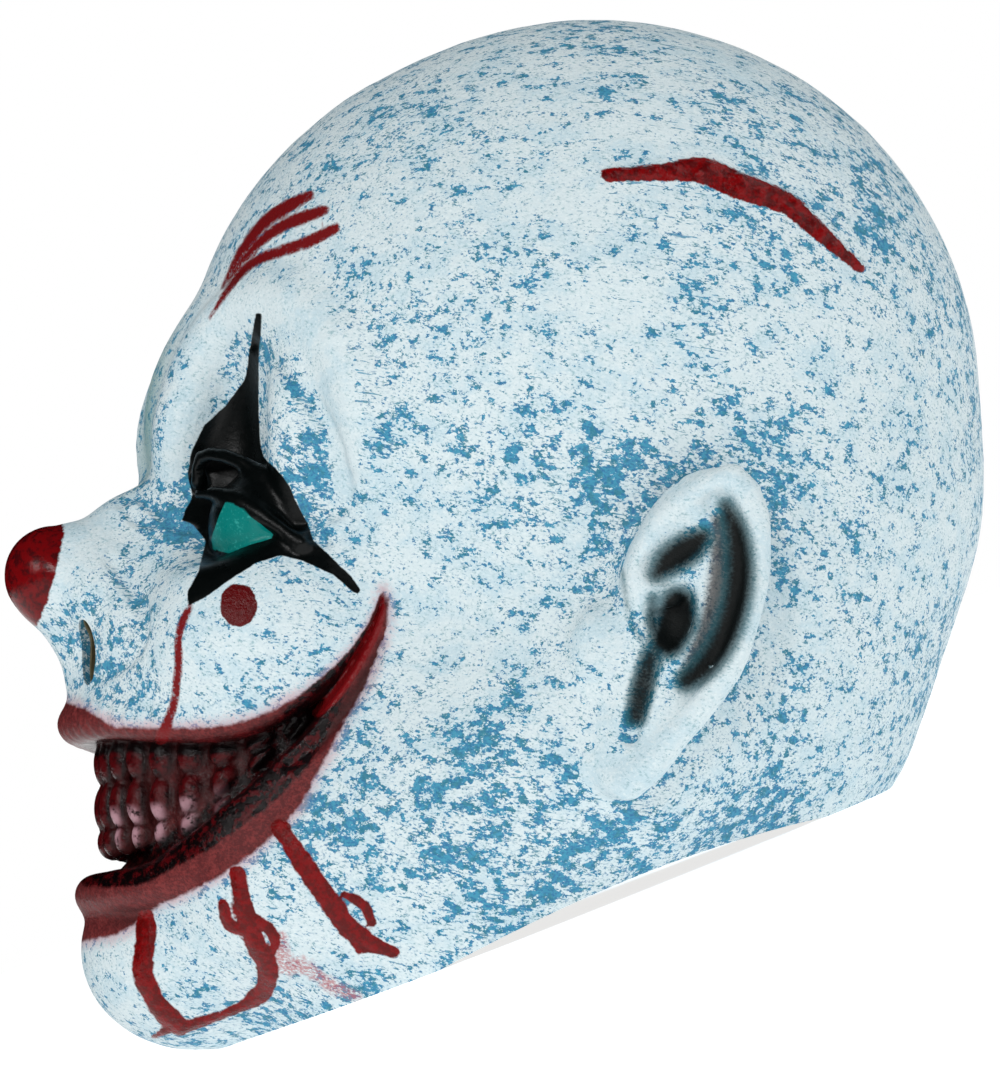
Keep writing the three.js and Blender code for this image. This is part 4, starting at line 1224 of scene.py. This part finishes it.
class LatexPaint(Shader):
    """The mask's paint: a few shared noises, and one layer of paint after another."""

    def __init__(self):
        super().__init__("painted_latex")
        place = self.node("TexCoord", "Object", {})
        tilted = {"Vector": place, "Scale": (1000, 1000, 1000), "Rotation": (TILT, 0, 0)}
        self.upright = self.node("Mapping", 0, tilted)
        self.flecks = self.noise(2.9, 5, 0.74, 1.6, -12, 1000)
        self.fine = self.noise(0.62, 2, 0.65, 1.8, -10, 2000)
        self.mottle = self.noise(2.4, 3, 0.65, 1, 0, 3000)
        self.soft = self.noise(9, 3, 0.65, 1.5, -10, 4000)

    def noise(self, size, detail, rough, stretch, turn, shift):
        """Random lumps of a size in millimetres, drawn out along a brush's way."""
        turned = {"Location": (shift,) * 3, "Rotation": (math.radians(turn), 0, 0)}
        turned.update({"Vector": self.upright, "Scale": (1, stretch, 1)})
        place = self.node("Mapping", 0, turned, vector_type="TEXTURE")
        lumps = {"Vector": place, "Scale": 1 / size, "Detail": detail, "Roughness": rough}
        return self.node("TexNoise", "Fac", lumps)

    def edge(self, name, soft, wander):
        """The share under a painted shape, with an uneven edge."""
        return (self.field(name) + self.mottle.swing(2 * wander)).ramp(soft, -soft)

    def blotched(self, share, colour, low, high, light, dark):
        """A layer of paint that changes between two colours."""
        return self.mix(share, colour, self.mix(self.mottle.ramp(low, high), light, dark))

    def dry_brush(self):
        """Pale paint dragged over a blue wash."""
        # More blue in the creases: the wash pooled there, and painted shade as well
        bias = self.field("wash_and_shade") + self.field("hollow").ramp(0.12, 0.6) * 0.07
        level = self.flecks + bias + self.fine.swing(0.26) + self.soft.swing(0.3)
        drags = self.noise(0.8, 2, 0.6, 14, -8, 5000)
        drags = drags + bias * 0.5 + self.field("scratch") * 0.08 + self.mottle.swing(0.25)
        cluster = (self.flecks + bias * 0.8).ramp(0.42, 0.54)
        speck = (self.fine.swing(1.0) + bias * 0.5).ramp(0.07, 0.13) * cluster
        blue = self.most(level.ramp(0.555, 0.585), drags.ramp(0.65, 0.68) * 0.85, speck * 0.6)
        pale = self.mix(self.soft.ramp(0.42, 0.62), PALE, PALE_COOL)
        dust = self.fine.ramp(0.52, 0.66) * self.mottle.ramp(0.38, 0.6)
        pale = self.mix(dust * 0.72, pale, DUST)
        pale = self.mix(self.fine.ramp(0.48, 0.3) * 0.5, pale, WHITE)
        pale = self.mix(self.field("green") * 0.8, pale, GREENISH)
        deep = self.mix((self.fine + self.mottle.swing(0.6)).ramp(0.4, 0.62), BLUE, BLUE_DEEP)
        deep = self.mix(self.mottle.ramp(0.5, 0.6) * 0.6, deep, BLUE_GREEN)
        return self.mix(blue * 0.92, pale, deep)

    def ear_airbrush(self, colour):
        """Soft black in the hollows, teal where it fades, and grey-brown on the inner ridge."""
        grain = self.fine.swing(0.9)
        brown = self.field("brown")
        brown = brown + grain * brown
        colour = self.mix(brown.ramp(0.1, 0.8) * 0.85, colour, EAR_BROWN)
        shade = self.field("ear")
        shade = shade + grain * self.math("MINIMUM", shade, 0.35)
        colour = self.mix(shade.ramp(0.05, 0.5) * 0.75, colour, EAR_TEAL)
        return self.mix(shade.ramp(0.3, 0.95), colour, EAR_BLACK)

    def lips(self, colour):
        """Dusty red lips with a pink haze round them, painted shade in their hollows and along the smile
        crease, and the wet inside of the lower one.
        """
        halo = self.field("lips") + (self.soft.swing(4) + self.fine.swing(5))
        colour = self.mix(halo.ramp(3.8, -0.8) * 0.65, colour, PINK)
        share = self.edge("lips", 0.6, 1.0)
        tone = self.mix((self.mottle + self.fine.swing(1.2)).ramp(0.3, 0.8), LIP_DUSK, LIP_RED)
        # Painted shade: the lips darkened in their hollows and along the smile crease
        dark = self.most(self.field("hollow").ramp(0.06, 0.5), self.field("crease_shade").ramp(1.0, -1.5))
        tone = self.mix(dark * 0.8, tone, LIP_SHADE)
        colour = self.mix(share, colour, tone)
        inside = (self.field("inside") + self.mottle.swing(1.6)).ramp(0.7, -0.7) * share
        return self.blotched(inside, colour, 0.45, 0.65, MOUTH_BLACK, GUM), share, inside

    def smeared(self, colour):
        smear = self.edge("smear", 1.2, 2.2) * self.fine.ramp(0.3, 0.6)
        return self.mix(smear * 0.75, colour, SMEAR_RED)

    def gums_and_teeth(self, colour):
        gums = self.mix(self.mottle.ramp(0.26, 0.56), MOUTH_BLACK, GUM)
        # Painted shade: the mouth's hollows and the gaps between the teeth and their tiers turned black
        dark = self.most(self.field("hollow").ramp(0.25, 0.7), self.field("gap_shade") * 0.9)
        gums = self.mix(dark, gums, MOUTH_BLACK)
        tips = self.field("tips") * (self.mottle + self.fine.swing(0.2)).ramp(0.3, 0.5)
        gums = self.mix(tips * 0.85, gums, TOOTH)
        return self.mix(self.field("mouth"), colour, gums)

    def red_strokes(self, colour):
        """The thin worn red of the brow, the tear and the end of the smile."""
        red = self.edge("red", 0.3, 0.6)
        worn = red * (self.field("red") + self.fine.swing(2.4)).ramp(0.5, -0.6)
        return self.mix(self.most(worn, red * 0.6), colour, PAINT_RED), red

    def eye(self, colour):
        """The black patch round the eye, and the teal of the eyeball."""
        patch = self.edge("patch", 0.2, 0.3)
        colour = self.mix(patch, colour, BLACK)
        iris = self.edge("iris", 0.12, 0.2)
        streaks = (self.mottle + self.fine.swing(0.8)).ramp(0.55, 0.8)
        return self.mix(iris, colour, self.mix(streaks, TEAL, TEAL_LIGHT)), patch, iris

    def drips(self, colour):
        """Drips that run thick and thin."""
        drips = (self.field("drips") + self.soft.swing(3) + self.mottle.swing(1)).ramp(0.5, -0.1)
        return self.blotched(drips, colour, 0.40, 0.60, DRIP_RED, BLOOD), drips

    def bare_latex(self, colour):
        bare = self.field("within").ramp(0.6, 0.35)
        return self.mix(bare, colour, self.mix(self.soft, LATEX, LATEX_DARK)), bare


def latex_paint():
    """All layers of the paint, in the order they lie, and how rough and grainy each is."""
    s = LatexPaint()
    colour = s.ear_airbrush(s.dry_brush())
    colour, lips, inside = s.lips(colour)
    colour = s.gums_and_teeth(s.smeared(colour))
    colour, red = s.red_strokes(colour)
    dot = s.edge("dot", 0.2, 0.7)
    colour = s.blotched(dot, colour, 0.42, 0.62, DOT_RED, BLOOD_DARK)
    colour, patch, iris = s.eye(colour)
    cap = s.edge("cap", 0.35, 1.2)
    colour = s.blotched(cap, colour, 0.42, 0.66, CAP_RED, CAP_DARK)
    scar = s.edge("scar", 0.25, 0.9)
    colour = s.blotched(scar, colour, 0.40, 0.60, BLOOD, BLOOD_DARK)
    colour, drips = s.drips(colour)
    colour, bare = s.bare_latex(colour)

    gloss = s.most(cap, scar, drips, dot, patch * 0.75, iris * 0.6, red * 0.6, lips * 0.3)
    wetter = s.most(s.field("mouth"), inside)
    rough = s.mottle.swing(0.25) + 0.58 - gloss * 0.36 - wetter * 0.42 + bare * 0.15
    brushed = 1.0 - s.most(patch, iris, cap) * 0.75
    grain = s.noise(1.3, 3, 0.65, 1, 0, 6000) + s.flecks * -0.7
    s.surface({
        "Base Color": colour,
        "Roughness": s.most(rough, 0.12),
        "IOR": 1.45,
        "Specular IOR Level": 0.22,
        "Normal": s.bump(grain, 0.0006, brushed * 0.6),
    })
    return s.material


def studio():
    """Soft white light all round: plain white to the eye, dimmer on the mask, and not mirrored in it."""
    world = bpy.data.worlds.new("studio")
    world.use_nodes = True
    nodes, links = world.node_tree.nodes, world.node_tree.links
    seen = nodes.new("ShaderNodeLightPath").outputs["Is Camera Ray"]
    strength = nodes.new("ShaderNodeMapRange")
    strength.inputs["To Min"].default_value = 0.5
    strength.inputs["To Max"].default_value = 1.0
    links.new(seen, strength.inputs["Value"])
    links.new(strength.outputs["Result"], nodes["Background"].inputs["Strength"])
    nodes["Background"].inputs["Color"].default_value = (1, 1, 1, 1)
    bpy.context.scene.world = world
    world.cycles_visibility.glossy = False


def lamp(name, place, size, power, aim=(0, 0, 0.11)):
    light = bpy.data.lights.new(name, "AREA")
    light.size = size
    light.energy = power
    thing = scene_object(name, light)
    thing.location = place
    thing.rotation_euler = (Vector(aim) - Vector(place)).to_track_quat("-Z", "Y").to_euler()


def white_floor():
    """A floor that glows a little, so that it stays nearly white under the mask."""
    half = 4
    corners = ((-half, -half, 0), (half, -half, 0), (half, half, 0), (-half, half, 0))
    floor = mesh_object("floor", corners, ((0, 1, 2, 3),))
    s = Shader("white_floor")
    s.surface({
        "Base Color": (0.6, 0.6, 0.6, 1),
        "Roughness": 0.9,
        "Emission Color": (1, 1, 1, 1),
        "Emission Strength": 0.78,
    })
    floor.data.materials.append(s.material)


def camera():
    """Looks at the mask's left side, rolled so that the head stands as in the picture."""
    c, s = math.cos(TILT), math.sin(TILT)
    lean = np.array(((1, 0, 0), (0, c, s), (0, -s, c)))
    right, up, back = lean @ SIDE_RIGHT, lean @ SIDE_UP, lean @ SIDE_BACK
    target = Vector(to_ground(SIDE_MIDDLE[None])[0])
    data = bpy.data.cameras.new("camera")
    data.lens = data.sensor_width * SIDE_AWAY / PICTURE_TALL
    thing = scene_object("camera", data)
    axes = Matrix((right, up, back)).transposed().to_4x4()
    thing.matrix_world = Matrix.Translation(target + Vector(back) * SIDE_AWAY / 1000) @ axes
    bpy.context.scene.camera = thing


mask = skin()
painted(mask)
mask.data.materials.clear()
mask.data.materials.append(latex_paint())
mask.data.shade_smooth()
mask.data.set_sharp_from_angle(angle=math.radians(60))
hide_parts("clown_mask")
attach(mask, "root")

studio()
lamp("key", (1.5, -1.6, 1.5), 0.8, 16)
lamp("spark", (2.0, -0.6, 1.0), 0.2, 9)
lamp("rim", (0.4, 1.6, 1.0), 1.0, 6)
white_floor()
camera()
bpy.context.scene.view_settings.view_transform = "Standard"
